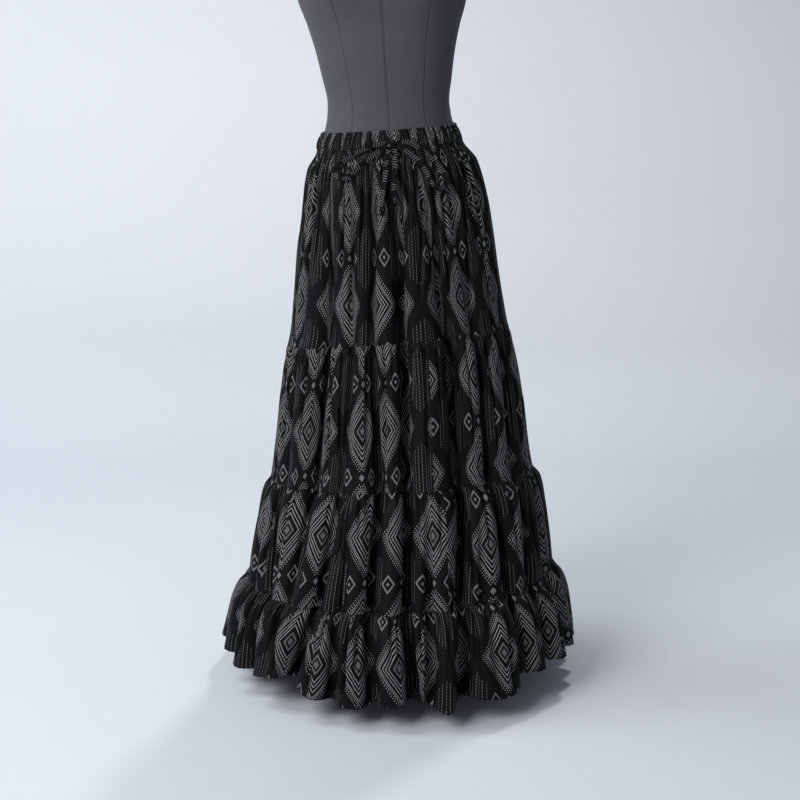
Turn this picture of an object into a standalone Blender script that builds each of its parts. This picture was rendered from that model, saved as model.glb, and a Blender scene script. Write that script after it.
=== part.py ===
"""A tiered gathered skirt with an elastic drawstring waist, on a limbless dress form that stands on a round foot.

Blender 4.5 script in metres, +Z up. The origin is the middle of the foot's underside and the front faces -Y.
Angles round the figure are in degrees from the middle of the front, positive towards +X.
"""

import math
from collections import namedtuple

import bmesh
import bpy
import numpy as np

# Cloth and seams
WALL = 0.0015  # cloth wall
GAP = 0.0003  # gap between pieces that touch
FORM_CLEARANCE = 0.0034  # from the form to the outside of the skirt, where the skirt lies on it

# Dress form: sections from the underside to the neck, with heights above the floor
FormSection = namedtuple("FormSection", "height half_width front back")
FORM = (
    FormSection(0.757, 0.114, 0.074, 0.086),
    FormSection(0.775, 0.138, 0.090, 0.104),
    FormSection(0.820, 0.151, 0.098, 0.118),
    FormSection(0.870, 0.154, 0.100, 0.121),
    FormSection(0.920, 0.150, 0.100, 0.115),
    FormSection(0.960, 0.143, 0.098, 0.108),
    FormSection(1.006, 0.129, 0.090, 0.097),
    FormSection(1.037, 0.117, 0.084, 0.090),
    FormSection(1.060, 0.112, 0.082, 0.088),
    FormSection(1.083, 0.110, 0.082, 0.087),
    FormSection(1.128, 0.117, 0.086, 0.090),
    FormSection(1.173, 0.125, 0.092, 0.095),
    FormSection(1.217, 0.136, 0.098, 0.100),
    FormSection(1.261, 0.150, 0.105, 0.104),
    FormSection(1.300, 0.157, 0.106, 0.107),
    FormSection(1.345, 0.159, 0.100, 0.110),
    FormSection(1.385, 0.158, 0.088, 0.106),
    FormSection(1.415, 0.150, 0.074, 0.094),
    FormSection(1.440, 0.132, 0.064, 0.082),
    FormSection(1.460, 0.106, 0.058, 0.071),
    FormSection(1.476, 0.078, 0.054, 0.062),
    FormSection(1.494, 0.060, 0.053, 0.056),
    FormSection(1.545, 0.053, 0.052, 0.052),
)
FORM_SQUARENESS = 2.3  # exponent of the superellipse sections, 2 for an ellipse
FORM_LEAN = 0.064  # the form leans towards -X by this share of its height
BUST_HEIGHT = 1.292
BUST_ANGLE = 34.0
BUST_REACH = 0.021
BUST_SPREAD = (24.0, 0.048)  # degrees round, metres up
FORM_COLUMNS = 28

# Stand
POLE_RADIUS = 0.0125
FOOT_RADIUS = 0.16
FOOT_RIM = 0.008
HUB_RADIUS = 0.024
HUB_HEIGHT = 0.030
CAP_RADIUS = 0.049
CAP_HEIGHT = 0.012
CAP_RIM = 0.005  # height of the cap's upright edge
CAP_CROWN = 0.018  # radius of its flat top

# Waistband: a casing ruched on elastic
BAND_BOTTOM = 1.0065
BAND_HEIGHT = 0.031
BAND_THICKNESS = 0.0034
BAND_BULGE = 0.0012  # how much fuller the casing is between its two edges
BAND_INSIDE = 0.0007  # from the form to the inside of the casing
BAND_RUCHES = 44
RUCHE_DEPTH = 0.0026
POINTS_PER_RUCHE = 2

# Outer envelope of each tier. slope is the rise towards +X, lift the rise at the middle of the front
Level = namedtuple("Level", "height half_width front back centre slope lift")
TIER_1 = (
    Level(1.0062, 0.1345, 0.0940, 0.1010, -0.0157, 0.064, 0.000),
    Level(0.9870, 0.1490, 0.1040, 0.1130, -0.0155, 0.062, 0.000),
    Level(0.9540, 0.1600, 0.1120, 0.1250, -0.0130, 0.060, 0.000),
    Level(0.9150, 0.1680, 0.1180, 0.1360, -0.0100, 0.060, 0.001),
    Level(0.8830, 0.1735, 0.1220, 0.1420, -0.0085, 0.060, 0.002),
    Level(0.8310, 0.1817, 0.1260, 0.1480, -0.0080, 0.062, 0.003),
    Level(0.7730, 0.1890, 0.1300, 0.1530, -0.0070, 0.068, 0.005),
    Level(0.7270, 0.1955, 0.1330, 0.1580, -0.0060, 0.073, 0.006),
    Level(0.6755, 0.2035, 0.1360, 0.1630, -0.0045, 0.079, 0.008),
    Level(0.6533, 0.2085, 0.1380, 0.1660, -0.0045, 0.080, 0.008),
)
TIER_2 = (
    Level(0.6533, 0.2085, 0.1380, 0.1660, -0.0045, 0.080, 0.008),
    Level(0.6400, 0.2150, 0.1460, 0.1730, -0.0035, 0.079, 0.008),
    Level(0.6200, 0.2195, 0.1500, 0.1770, -0.0025, 0.077, 0.008),
    Level(0.5940, 0.2235, 0.1540, 0.1810, -0.0015, 0.073, 0.008),
    Level(0.5480, 0.2305, 0.1630, 0.1890, -0.0005, 0.065, 0.008),
    Level(0.4830, 0.2385, 0.1770, 0.2000, 0.0005, 0.055, 0.008),
    Level(0.4100, 0.2490, 0.1910, 0.2140, 0.0020, 0.046, 0.008),
    Level(0.3930, 0.2520, 0.1950, 0.2170, 0.0025, 0.044, 0.008),
)
TIER_3 = (
    Level(0.3930, 0.2520, 0.1950, 0.2170, 0.0025, 0.044, 0.008),
    Level(0.3780, 0.2655, 0.2070, 0.2280, 0.0035, 0.044, 0.006),
    Level(0.3600, 0.2720, 0.2140, 0.2350, 0.0035, 0.044, 0.004),
    Level(0.3250, 0.2790, 0.2260, 0.2450, 0.0035, 0.043, 0.002),
    Level(0.2790, 0.2880, 0.2430, 0.2570, 0.0026, 0.043, -0.002),
    Level(0.2380, 0.2950, 0.2570, 0.2680, 0.0017, 0.043, -0.005),
    Level(0.2020, 0.2995, 0.2660, 0.2740, 0.0013, 0.043, -0.006),
)
TIER_4 = (
    Level(0.2020, 0.2995, 0.2660, 0.2740, 0.0013, 0.043, -0.006),
    Level(0.1880, 0.3170, 0.2840, 0.2910, 0.0010, 0.041, -0.006),
    Level(0.1720, 0.3265, 0.2940, 0.3000, 0.0010, 0.038, -0.006),
    Level(0.1470, 0.3350, 0.3030, 0.3090, 0.0010, 0.030, -0.004),
    Level(0.1056, 0.3435, 0.3140, 0.3190, 0.0010, 0.015, -0.002),
    Level(0.0500, 0.3530, 0.3260, 0.3300, 0.0000, 0.000, 0.000),
)
# The hem isn't level: how far each place on it hangs above or below the last level
HemPoint = namedtuple("HemPoint", "angle rise")
HEM = (
    HemPoint(-180, 0.008),
    HemPoint(-100, 0.012),
    HemPoint(-78, 0.010),
    HemPoint(-62, 0.002),
    HemPoint(-38, 0.016),
    HemPoint(-26, -0.004),
    HemPoint(-12, -0.008),
    HemPoint(4, 0.000),
    HemPoint(14, -0.016),
    HemPoint(22, 0.000),
    HemPoint(33, -0.006),
    HemPoint(50, 0.020),
    HemPoint(66, 0.022),
    HemPoint(84, 0.018),
    HemPoint(180, 0.008),
)

# Main folds of the front, each a trough that runs from the band to the hem. The five entries of a column
# are at the band, the three seams and the hem: angle and width in degrees, depth in millimetres.
Fold = namedtuple("Fold", "angle depth width")
FRONT_FOLDS = (
    Fold((-85, -86, -86, -86, -84), (2, 4, 6, 14, 34), (6, 6, 5, 4.5, 4.0)),
    Fold((-74, -76, -76, -73, -71), (1, 3, 6, 18, 38), (6, 6, 5, 4.5, 4.0)),
    Fold((-60, -65, -64, -59, -57), (3, 10, 14, 24, 42), (6, 6, 6, 4.5, 4.0)),
    Fold((-43.5, -41, -44, -46, -47), (4, 30, 32, 14, 4), (6, 6.5, 6.5, 4.5, 3.0)),
    Fold((-30, -23, -27, -32.7, -38), (2, 12, 12, 32, 46), (4.5, 4.5, 4.5, 4.2, 5.0)),
    Fold((-20, -19, -20, -22, -22.3), (0, 0, 0, 16, 34), (4, 4, 3.5, 3.2, 3.2)),
    Fold((-14, -13, -9.8, -11.3, -8.7), (3, 18, 30, 36, 32), (4, 4.2, 4.2, 3.6, 3.0)),
    Fold((-1, 3, 2.5, 2.3, 4.0), (4, 36, 30, 38, 44), (4, 3.8, 3.2, 3.0, 3.0)),
    Fold((9, 10, 10, 10.5, 9.3), (0, 0, 0, 22, 30), (4, 4, 3.2, 3.0, 3.0)),
    Fold((12, 15, 14, 15, 13.9), (0, 0, 0, 0, -12), (4, 4, 3.2, 3.0, 3.4)),
    Fold((17, 27.5, 26, 22.7, 20.2), (4, 34, 36, 34, 46), (5, 5.2, 5.0, 4.2, 3.4)),
    Fold((26, 34, 33, 31, 31), (0, 0, 0, 16, 4), (4, 4, 3.5, 3.2, 3.0)),
    Fold((37, 45, 42, 43.6, 44), (3, 18, 22, 28, 44), (5, 5, 4.5, 4.0, 4.0)),
    Fold((52, 63, 59, 56.2, 56.3), (2, 12, 16, 26, 42), (5, 6, 5, 4.2, 3.6)),
    Fold((68, 73, 72, 70, 70.6), (2, 5, 8, 22, 42), (5, 5, 5, 4.5, 4.0)),
    Fold((80, 82, 82, 82, 82.5), (0, 2, 5, 18, 38), (5, 5, 5, 4.5, 4.0)),
)
BACK_TURN = 176.0  # the back carries the front's folds, turned over about this angle
GATHER_DEPTH = 0.005  # short creases under each seam, between the main folds
GATHER_AT = 0.10  # share of a tier's height at which they are deepest

# How each tier is cut: strips of cloth joined by upright seams at these angles, and the mesh it is built with
Tier = namedtuple("Tier", "levels seams columns rows gathers")
TIERS = (
    Tier(TIER_1, (-92, 88), 120, (0.0, 0.05, 0.13, 0.25, 0.42, 0.68, 1.0), 0),
    Tier(TIER_2, (14, 194), 144, (0.0, 0.07, 0.22, 0.55, 1.0), 18),
    Tier(TIER_3, (17, 137, 257), 176, (0.0, 0.09, 0.34, 1.0), 20),
    Tier(TIER_4, (-28, 63, 153, 243), 196, (0.0, 0.10, 0.32, 0.64, 1.0), 20),
)
DENSE = 60  # points between two folds, before the columns are picked

# Drawstring: a flat tie of the same cloth in a bow. Each row is x, height and distance off the cloth
TIE_WIDTH = 0.0100
TIE_THICKNESS = 0.0028
BEHIND = 0.0022
BEFORE = 0.0062
TIE_STEP = 0.009
TIE_SIDES = 6
KNOT_CENTRE = (-0.0144, 1.0135)
KNOT_SIZE = (0.0180, 0.0115, 0.0160)
KNOT_BEVEL = 0.003
KNOT_LEFT = KNOT_CENTRE[0] - KNOT_SIZE[0] / 2 - GAP
KNOT_RIGHT = KNOT_CENTRE[0] + KNOT_SIZE[0] / 2 + GAP
KNOT_UNDER = KNOT_CENTRE[1] - KNOT_SIZE[2] / 2 - GAP
RoutePoint = namedtuple("RoutePoint", "x height off")
LEFT_LOOP = (
    RoutePoint(KNOT_LEFT, 1.0150, BEHIND),
    RoutePoint(-0.0368, 1.0130, BEHIND),
    RoutePoint(-0.0561, 1.0075, BEHIND),
    RoutePoint(-0.0737, 1.0000, BEHIND),
    RoutePoint(-0.0912, 0.9890, BEHIND),
    RoutePoint(-0.1075, 0.9772, 0.0030),
    RoutePoint(-0.1158, 0.9658, 0.0042),
    RoutePoint(-0.1110, 0.9551, 0.0055),
    RoutePoint(-0.0982, 0.9535, BEFORE),
    RoutePoint(-0.0850, 0.9625, BEFORE),
    RoutePoint(-0.0719, 0.9745, BEFORE),
    RoutePoint(-0.0561, 0.9870, BEFORE),
    RoutePoint(-0.0404, 0.9990, BEFORE),
    RoutePoint(KNOT_LEFT, 1.0110, BEFORE),
)
RIGHT_LOOP = (
    RoutePoint(KNOT_RIGHT, 1.0160, BEHIND),
    RoutePoint(0.0070, 1.0175, BEHIND),
    RoutePoint(0.0193, 1.0156, BEHIND),
    RoutePoint(0.0351, 1.0055, BEHIND),
    RoutePoint(0.0491, 0.9943, BEHIND),
    RoutePoint(0.0632, 0.9818, BEHIND),
    RoutePoint(0.0754, 0.9676, 0.0026),
    RoutePoint(0.0825, 0.9534, 0.0036),
    RoutePoint(0.0789, 0.9410, 0.0048),
    RoutePoint(0.0667, 0.9375, 0.0058),
    RoutePoint(0.0561, 0.9470, BEFORE),
    RoutePoint(0.0491, 0.9620, BEFORE),
    RoutePoint(0.0395, 0.9765, BEFORE),
    RoutePoint(0.0263, 0.9907, BEFORE),
    RoutePoint(0.0100, 1.0020, BEFORE),
    RoutePoint(KNOT_RIGHT, 1.0105, BEFORE),
)
LONG_TAIL = (
    RoutePoint(-0.0100, KNOT_UNDER, 0.0040),
    RoutePoint(-0.0088, 0.9854, 0.0034),
    RoutePoint(-0.0096, 0.9640, 0.0028),
    RoutePoint(-0.0105, 0.9409, 0.0026),
    RoutePoint(-0.0088, 0.9178, 0.0026),
    RoutePoint(-0.0070, 0.8964, 0.0030),
    RoutePoint(-0.0079, 0.8751, 0.0028),
    RoutePoint(-0.0053, 0.8519, 0.0026),
    RoutePoint(0.0018, 0.8288, 0.0030),
)
SHORT_TAIL = (
    RoutePoint(-0.0193, KNOT_UNDER, 0.0072),
    RoutePoint(-0.0235, 0.9835, 0.0050),
    RoutePoint(-0.0263, 0.9587, 0.0028),
    RoutePoint(-0.0281, 0.9356, 0.0026),
    RoutePoint(-0.0316, 0.9142, 0.0030),
    RoutePoint(-0.0333, 0.8911, 0.0034),
)


def smooth(at, xs, ys):
    """The monotone cubic curve through the points (xs, ys), xs rising."""
    xs, ys = np.asarray(xs, float), np.asarray(ys, float)
    run = np.diff(xs)
    rise = np.diff(ys) / run
    slope = np.concatenate([rise[:1], np.zeros(len(xs) - 2), rise[-1:]])
    both = rise[:-1] * rise[1:]
    total = rise[:-1] + rise[1:]
    slope[1:-1] = np.where(both > 0, 2 * both / np.where(total == 0, 1, total), 0)
    i = np.clip(np.searchsorted(xs, at) - 1, 0, len(run) - 1)
    t = np.clip((at - xs[i]) / run[i], 0, 1)
    before = (1 + 2 * t) * (1 - t) ** 2 * ys[i] + t * (1 - t) ** 2 * run[i] * slope[i]
    after = t * t * (3 - 2 * t) * ys[i + 1] - t * t * (1 - t) * run[i] * slope[i + 1]
    return before + after


def column(rows, name, at, key="height"):
    """One named column of a table, read at a height or share between its rows."""
    rows = sorted(rows, key=lambda row: getattr(row, key))
    return smooth(at, [getattr(r, key) for r in rows], [getattr(r, name) for r in rows])


def fade(t):
    """0 below 0, 1 above 1, and smooth between."""
    t = np.clip(t, 0, 1)
    return t * t * (3 - 2 * t)


def signed_power(value, power):
    return np.sign(value) * np.abs(value) ** power


def form_centre(z):
    """Where the leaning form's middle is at a height."""
    return -FORM_LEAN * np.maximum(z - FORM[0].height, 0)


def form_point(phi, z, out=0.0):
    """x and y of the dress form's surface at an angle in radians and a height, moved out by a distance."""
    sine, cosine = np.sin(phi), np.cos(phi)
    power = 2 / FORM_SQUARENESS
    half = column(FORM, "half_width", z) + out
    depth = np.where(cosine > 0, column(FORM, "front", z), column(FORM, "back", z)) + out
    round_deg, up = BUST_SPREAD
    level = np.exp(-(((z - BUST_HEIGHT) / up) ** 2))
    sides = sum(np.exp(-(((np.degrees(phi) - side * BUST_ANGLE) / round_deg) ** 2)) for side in (-1, 1))
    x = form_centre(z) + half * signed_power(sine, power)
    y = -depth * signed_power(cosine, power) - BUST_REACH * level * sides
    return x, y


def wrapped(degrees):
    """An angle difference brought between -180 and 180."""
    return (degrees + 180) % 360 - 180


def all_folds():
    """The front's folds and the same ones turned over to the back, in the order that they come round."""
    back = [
        Fold(tuple(BACK_TURN - angle for angle in fold.angle), fold.depth, fold.width)
        for fold in reversed(FRONT_FOLDS)
    ]
    return list(FRONT_FOLDS) + back


def at_share(values, tier, share):
    """One of a fold's five-entry columns, read part of the way down a tier."""
    return (1 - share) * values[tier] + share * values[tier + 1]


def fold_depth(tier, share, phi):
    """How far the cloth lies inside its envelope: a bell-shaped trough for each fold, plus short gathers."""
    degrees = np.degrees(phi)
    inward = np.zeros_like(phi)
    for fold in all_folds():
        off = wrapped(degrees - at_share(fold.angle, tier, share)) / at_share(fold.width, tier, share)
        inward += 0.001 * at_share(fold.depth, tier, share) / (1 + off * off) ** 1.6
    if TIERS[tier].gathers:
        grown = fade(share / GATHER_AT) * np.exp(-np.maximum(share - GATHER_AT, 0) / 0.14)
        inward += GATHER_DEPTH * grown * (0.5 - 0.5 * np.cos(TIERS[tier].gathers * phi))
    return inward


def level_at(tier, share):
    """The envelope's sizes at a share of the way down a tier."""
    levels = TIERS[tier].levels
    height = levels[0].height + share * (levels[-1].height - levels[0].height)
    return Level(height, *(column(levels, name, height) for name in Level._fields[1:]))


def ring(tier, share):
    """A closed ring of cloth: angles, points and outward normals, with DENSE steps between two folds."""
    troughs = [at_share(fold.angle, tier, share) for fold in all_folds()]
    troughs.append(troughs[0] + 360)
    steps = np.arange(len(all_folds()) * DENSE + 1) / DENSE
    phi = np.radians(np.interp(steps, np.arange(len(troughs)), troughs))
    sine, cosine = np.sin(phi), np.cos(phi)
    level = level_at(tier, share)
    depth = np.where(cosine > 0, level.front, level.back)
    z = level.height + level.slope * level.half_width * sine
    z = z + level.lift * np.maximum(cosine, 0) ** 2
    x, y = level.centre + level.half_width * sine, -depth * cosine
    if tier == len(TIERS) - 1:
        turn = wrapped(np.degrees(phi))
        z = z + share**2 * smooth(turn, [point.angle for point in HEM], [point.rise for point in HEM])
    if tier == 0:
        worn = fade(share / 0.10)
        on_form = form_point(phi, z, BAND_THICKNESS + BAND_BULGE)
        x, y = (1 - worn) * on_form[0] + worn * x, (1 - worn) * on_form[1] + worn * y
    across = np.stack([sine / level.half_width, -cosine / depth])
    across /= np.linalg.norm(across, axis=0)
    inward = fold_depth(tier, share, phi)
    if tier == 0:
        body_x, body_y = form_point(phi, z)
        room = np.hypot(x - form_centre(z), y) - np.hypot(body_x - form_centre(z), body_y)
        inward = np.minimum(inward, np.maximum(room - FORM_CLEARANCE, 0))
    x, y = x - inward * across[0], y - inward * across[1]
    out = np.stack([np.gradient(y), -np.gradient(x)], axis=1)
    out /= np.linalg.norm(out, axis=1)[:, None]
    return phi, np.stack([x, y, z], axis=1), out


def length_along(points):
    """Distance along a ring, seen from above, at each of its points."""
    return np.concatenate([[0], np.cumsum(np.linalg.norm(np.diff(points[:, :2], axis=0), axis=1))])


def column_counts(tier):
    """How many columns of the mesh stand between each two folds, by the cloth's length there halfway down."""
    along = length_along(ring(tier, 0.5)[1])[::DENSE]
    return np.maximum(3, np.round(TIERS[tier].columns * np.diff(along) / along[-1])).astype(int)


def column_places(tier, share, counts):
    """Distances along a ring at which the mesh's columns stand. Each fold keeps its own all the way down."""
    phi, points, _ = ring(tier, share)
    ends = length_along(points)[::DENSE]
    places = [np.linspace(a, b, n, endpoint=False) for a, b, n in zip(ends, ends[1:], counts)]
    return np.concatenate([*places, ends[-1:]])


def cloth_at(line, places):
    """Points of a ring at these distances along it, on the outside and one wall thickness inside."""
    _, points, out = line
    along = length_along(points)
    places = places % along[-1]
    outer = np.stack([np.interp(places, along, points[:, k]) for k in range(3)], axis=1)
    across = np.stack([np.interp(places, along, out[:, k]) for k in range(2)], axis=1)
    inner = outer.copy()
    inner[:, :2] -= WALL * across / np.linalg.norm(across, axis=1)[:, None]
    return outer, inner


def material(name, colour, roughness, metallic=0.0):
    """A Principled material."""
    made = bpy.data.materials.new(name)
    made.use_nodes = True
    shader = made.node_tree.nodes["Principled BSDF"]
    shader.inputs["Base Color"].default_value = (*colour, 1.0)
    shader.inputs["Roughness"].default_value = roughness
    shader.inputs["Metallic"].default_value = metallic
    return made


def add_mesh(name, mesh, collection, finish):
    """A new object with this mesh and material."""
    made = bpy.data.objects.new(name, mesh)
    mesh.materials.append(finish)
    collection.objects.link(made)
    return made


def wall(name, outer, inner, closed, collection, finish):
    """A cloth wall lofted between unlike rings: outer and inner are rows of points, top row first."""
    rows, columns = outer.shape[:2]
    points = np.concatenate([outer.reshape(-1, 3), inner.reshape(-1, 3)])
    shift = rows * columns
    across = columns if closed else columns - 1
    faces = []
    for c in range(across):
        d = (c + 1) % columns
        for r in range(rows - 1):
            a, b = r * columns, (r + 1) * columns
            faces.append((a + c, b + c, b + d, a + d))
            faces.append((shift + a + d, shift + b + d, shift + b + c, shift + a + c))
        last = (rows - 1) * columns
        faces.append((c, d, shift + d, shift + c))
        faces.append((last + d, last + c, shift + last + c, shift + last + d))
    if not closed:
        for r in range(rows - 1):
            a, b = r * columns, (r + 1) * columns
            faces.append((a, shift + a, shift + b, b))
            a, b = a + columns - 1, b + columns - 1
            faces.append((a, b, shift + b, shift + a))
    mesh = bpy.data.meshes.new(name)
    mesh.from_pydata([tuple(p) for p in points], [], faces)
    mesh.shade_smooth()
    mesh.set_sharp_from_angle(angle=math.radians(40))
    return add_mesh(name, mesh, collection, finish)


def build_tiers(collection, finish):
    """The four tiers, each as its strips of cloth, a gap apart from the next strip and the tier above."""
    for number, tier in enumerate(TIERS):
        counts = column_counts(number)
        total = counts.sum()
        rings = [ring(number, share) for share in tier.rows]
        places = [column_places(number, share, counts) for share in tier.rows]
        middle = rings[len(rings) // 2]
        angles = np.interp(places[len(rings) // 2][:-1], length_along(middle[1]), np.degrees(middle[0]))
        seams = sorted(int(np.argmin(np.abs(wrapped(angles - seam)))) for seam in tier.seams)
        for strip, (first, last) in enumerate(zip(seams, seams[1:] + [seams[0] + total])):
            outer, inner = [], []
            for row, line in enumerate(rings):
                length = places[row][-1]
                index = np.arange(first, last + 1)
                at = places[row][index % total] + length * (index // total)
                at[0] += GAP / 2
                at[-1] -= GAP / 2
                out, back = cloth_at(line, at)
                drop = GAP if row == 0 else 0.0
                out[:, 2] -= drop
                back[:, 2] -= drop
                outer.append(out)
                inner.append(back)
            name = f"tier_{number + 1}_strip_{strip + 1}"
            wall(name, np.array(outer), np.array(inner), False, collection, finish)


def band_ring(share):
    """The casing's outside and inside at a share of the way down. Its outside is scalloped by the gathers."""
    phi = np.linspace(0, 2 * np.pi, BAND_RUCHES * POINTS_PER_RUCHE, endpoint=False)
    base = TIERS[0].levels[0]
    z = base.height + base.slope * base.half_width * np.sin(phi) + BAND_HEIGHT * (1 - share) + GAP / 2
    full = BAND_THICKNESS + BAND_BULGE * math.sin(math.pi * share)
    ruche = RUCHE_DEPTH * (0.5 + 0.5 * np.cos(BAND_RUCHES * phi))
    outer = np.stack([*form_point(phi, z, full + ruche), z], axis=1)
    inner = np.stack([*form_point(phi, z, BAND_INSIDE), z], axis=1)
    return outer, inner


def build_waistband(collection, finish):
    """The ruched casing: its inside follows the form."""
    rings = [band_ring(share) for share in (0.0, 0.5, 1.0)]
    outer, inner = np.array([line[0] for line in rings]), np.array([line[1] for line in rings])
    wall("waistband", outer, inner, True, collection, finish)


def build_form(collection, cover, metal, dark):
    """The covered torso with its neck cap, on a pole that rises from a round foot."""
    heights = [section.height for section in FORM]
    phi = np.linspace(0, 2 * np.pi, FORM_COLUMNS, endpoint=False)
    levels = [np.full_like(phi, z) for z in heights]
    rows = [np.stack([*form_point(phi, z), z], axis=1) for z in levels]
    mesh = bpy.data.meshes.new("form_torso")
    body = bmesh.new()
    rings = [[body.verts.new(p) for p in row] for row in rows]
    for low, high in zip(rings, rings[1:]):
        for c in range(FORM_COLUMNS):
            d = (c + 1) % FORM_COLUMNS
            body.faces.new((low[c], low[d], high[d], high[c]))
    body.faces.new(rings[0])
    body.faces.new(rings[-1])
    bmesh.ops.recalc_face_normals(body, faces=body.faces)
    body.to_mesh(mesh)
    body.free()
    mesh.shade_smooth()
    add_mesh("form_torso", mesh, collection, cover)

    outline = (
        (0, CAP_HEIGHT),
        (CAP_CROWN, CAP_HEIGHT),
        (CAP_RADIUS, CAP_RIM),
        (CAP_RADIUS, 0),
        (0, 0),
    )
    cap = turned("form_neck_cap", outline, 24, collection, dark)
    cap.location = (form_centre(FORM[-1].height), 0, FORM[-1].height + GAP)

    mesh = bpy.data.meshes.new("form_pole")
    pole = bmesh.new()
    length = FORM[0].height - HUB_HEIGHT - 2 * GAP
    radii = {"radius1": POLE_RADIUS, "radius2": POLE_RADIUS}
    bmesh.ops.create_cone(pole, cap_ends=True, segments=24, depth=length, **radii)
    pole.to_mesh(mesh)
    pole.free()
    add_mesh("form_pole", mesh, collection, metal).location = (0, 0, HUB_HEIGHT + GAP + length / 2)

    outline = (
        (0, HUB_HEIGHT),
        (HUB_RADIUS, HUB_HEIGHT),
        (HUB_RADIUS + 0.006, FOOT_RIM + 0.010),
        (FOOT_RADIUS - 0.008, FOOT_RIM),
        (FOOT_RADIUS, FOOT_RIM - 0.003),
        (FOOT_RADIUS, 0),
        (0, 0),
    )
    turned("form_foot", outline, 40, collection, metal)


def turned(name, outline, steps, collection, finish):
    """A turned solid: the outline, radius and height from top to bottom, spun round Z by a Screw modifier."""
    mesh = bpy.data.meshes.new(name)
    mesh.from_pydata([(r, 0, z) for r, z in outline], [(i, i + 1) for i in range(len(outline) - 1)], [])
    made = add_mesh(name, mesh, collection, finish)
    screw = made.modifiers.new("Turn", "SCREW")
    screw.steps = screw.render_steps = steps
    screw.use_merge_vertices = True
    screw.merge_threshold = 0.00005
    return made


def front_of_cloth(x, z):
    """y of the outermost cloth at the front, at a place x and a height: the casing, or tier 1's envelope."""
    levels = TIERS[0].levels
    height = np.minimum(z, levels[0].height)
    half, front, centre = (column(levels, name, height) for name in ("half_width", "front", "centre"))
    sine = np.clip((x - centre) / half, -0.99, 0.99)
    skirt = -front * np.sqrt(1 - sine * sine)
    full = BAND_THICKNESS + BAND_BULGE + RUCHE_DEPTH
    share = np.clip((x - form_centre(z)) / (column(FORM, "half_width", z) + full), -0.99, 0.99)
    reach = (1 - np.abs(share) ** FORM_SQUARENESS) ** (1 / FORM_SQUARENESS)
    band = -(column(FORM, "front", z) + full) * reach
    over = fade((z - (BAND_BOTTOM - 0.02)) / 0.014)
    return np.minimum(skirt, (1 - over) * skirt + over * band)


def route_line(route):
    """The tie's centreline: a smooth curve through the route's points, evenly spaced."""
    points = np.array([(p.x, front_of_cloth(p.x, p.height) - p.off, p.height) for p in route])
    key = np.concatenate([[0], np.cumsum(np.linalg.norm(np.diff(points, axis=0), axis=1))])
    padded = np.concatenate([[2 * points[0] - points[1]], points, [2 * points[-1] - points[-2]]])
    fine = []
    for a, b, c, d in zip(padded, padded[1:], padded[2:], padded[3:]):
        square, cube = 2 * a - 5 * b + 4 * c - d, 3 * b - a - 3 * c + d
        for t in np.linspace(0, 1, 12, endpoint=False):
            fine.append(0.5 * (2 * b + (c - a) * t + square * t**2 + cube * t**3))
    fine = np.array(fine + [points[-1]])
    along = np.concatenate([[0], np.cumsum(np.linalg.norm(np.diff(fine, axis=0), axis=1))])
    at = np.linspace(0, along[-1], max(3, round(key[-1] / TIE_STEP)) + 1)
    return np.stack([np.interp(at, along, fine[:, k]) for k in range(3)], axis=1)


def tie(name, route, leaves, returns, collection, finish):
    """A flat tie swept along its route, broad face to the front. It meets the knot squarely."""
    line = route_line(route)
    along = np.gradient(line, axis=0)
    along[0] = leaves
    if returns:
        along[-1] = returns
    along /= np.linalg.norm(along, axis=1)[:, None]
    face = np.tile([0.0, -1.0, 0.0], (len(line), 1))
    face -= (face * along).sum(1)[:, None] * along
    face /= np.linalg.norm(face, axis=1)[:, None]
    side = np.cross(along, face)
    turn = np.linspace(0, 2 * np.pi, TIE_SIDES, endpoint=False)
    across = TIE_WIDTH / 2 * np.cos(turn)
    thick = TIE_THICKNESS / 2 * np.sin(turn) / np.sin(turn).max()
    rows = line[:, None] + across[None, :, None] * side[:, None] + thick[None, :, None] * face[:, None]
    body = bmesh.new()
    rings = [[body.verts.new(p) for p in row] for row in rows]
    for low, high in zip(rings, rings[1:]):
        for c in range(TIE_SIDES):
            d = (c + 1) % TIE_SIDES
            body.faces.new((low[c], low[d], high[d], high[c]))
    body.faces.new(rings[0])
    body.faces.new(rings[-1])
    bmesh.ops.recalc_face_normals(body, faces=body.faces)
    mesh = bpy.data.meshes.new(name)
    body.to_mesh(mesh)
    body.free()
    mesh.shade_smooth()
    return add_mesh(name, mesh, collection, finish)


def build_drawstring(collection, finish):
    """The knot, seated on the casing, with two loops and two hanging ends."""
    mesh = bpy.data.meshes.new("tie_knot")
    knot = bmesh.new()
    bmesh.ops.create_cube(knot, size=1.0)
    bmesh.ops.scale(knot, vec=KNOT_SIZE, verts=knot.verts)
    knot.to_mesh(mesh)
    knot.free()
    made = add_mesh("tie_knot", mesh, collection, finish)
    casing = np.concatenate([band_ring(0.5)[0], band_ring(1.0)[0]])
    near = np.abs(casing[:, 0] - KNOT_CENTRE[0]) < KNOT_SIZE[0]
    seat = casing[near, 1].min() - GAP
    made.location = (KNOT_CENTRE[0], seat - KNOT_SIZE[1] / 2, KNOT_CENTRE[1])
    bevel = made.modifiers.new("Soft edges", "BEVEL")
    bevel.width = KNOT_BEVEL
    bevel.segments = 2
    left, right, down = (-1, 0, 0), (1, 0, 0), (0, 0, -1)
    tie("tie_loop_left", LEFT_LOOP, left, right, collection, finish)
    tie("tie_loop_right", RIGHT_LOOP, right, left, collection, finish)
    tie("tie_tail_long", LONG_TAIL, down, None, collection, finish)
    tie("tie_tail_short", SHORT_TAIL, down, None, collection, finish)


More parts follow.
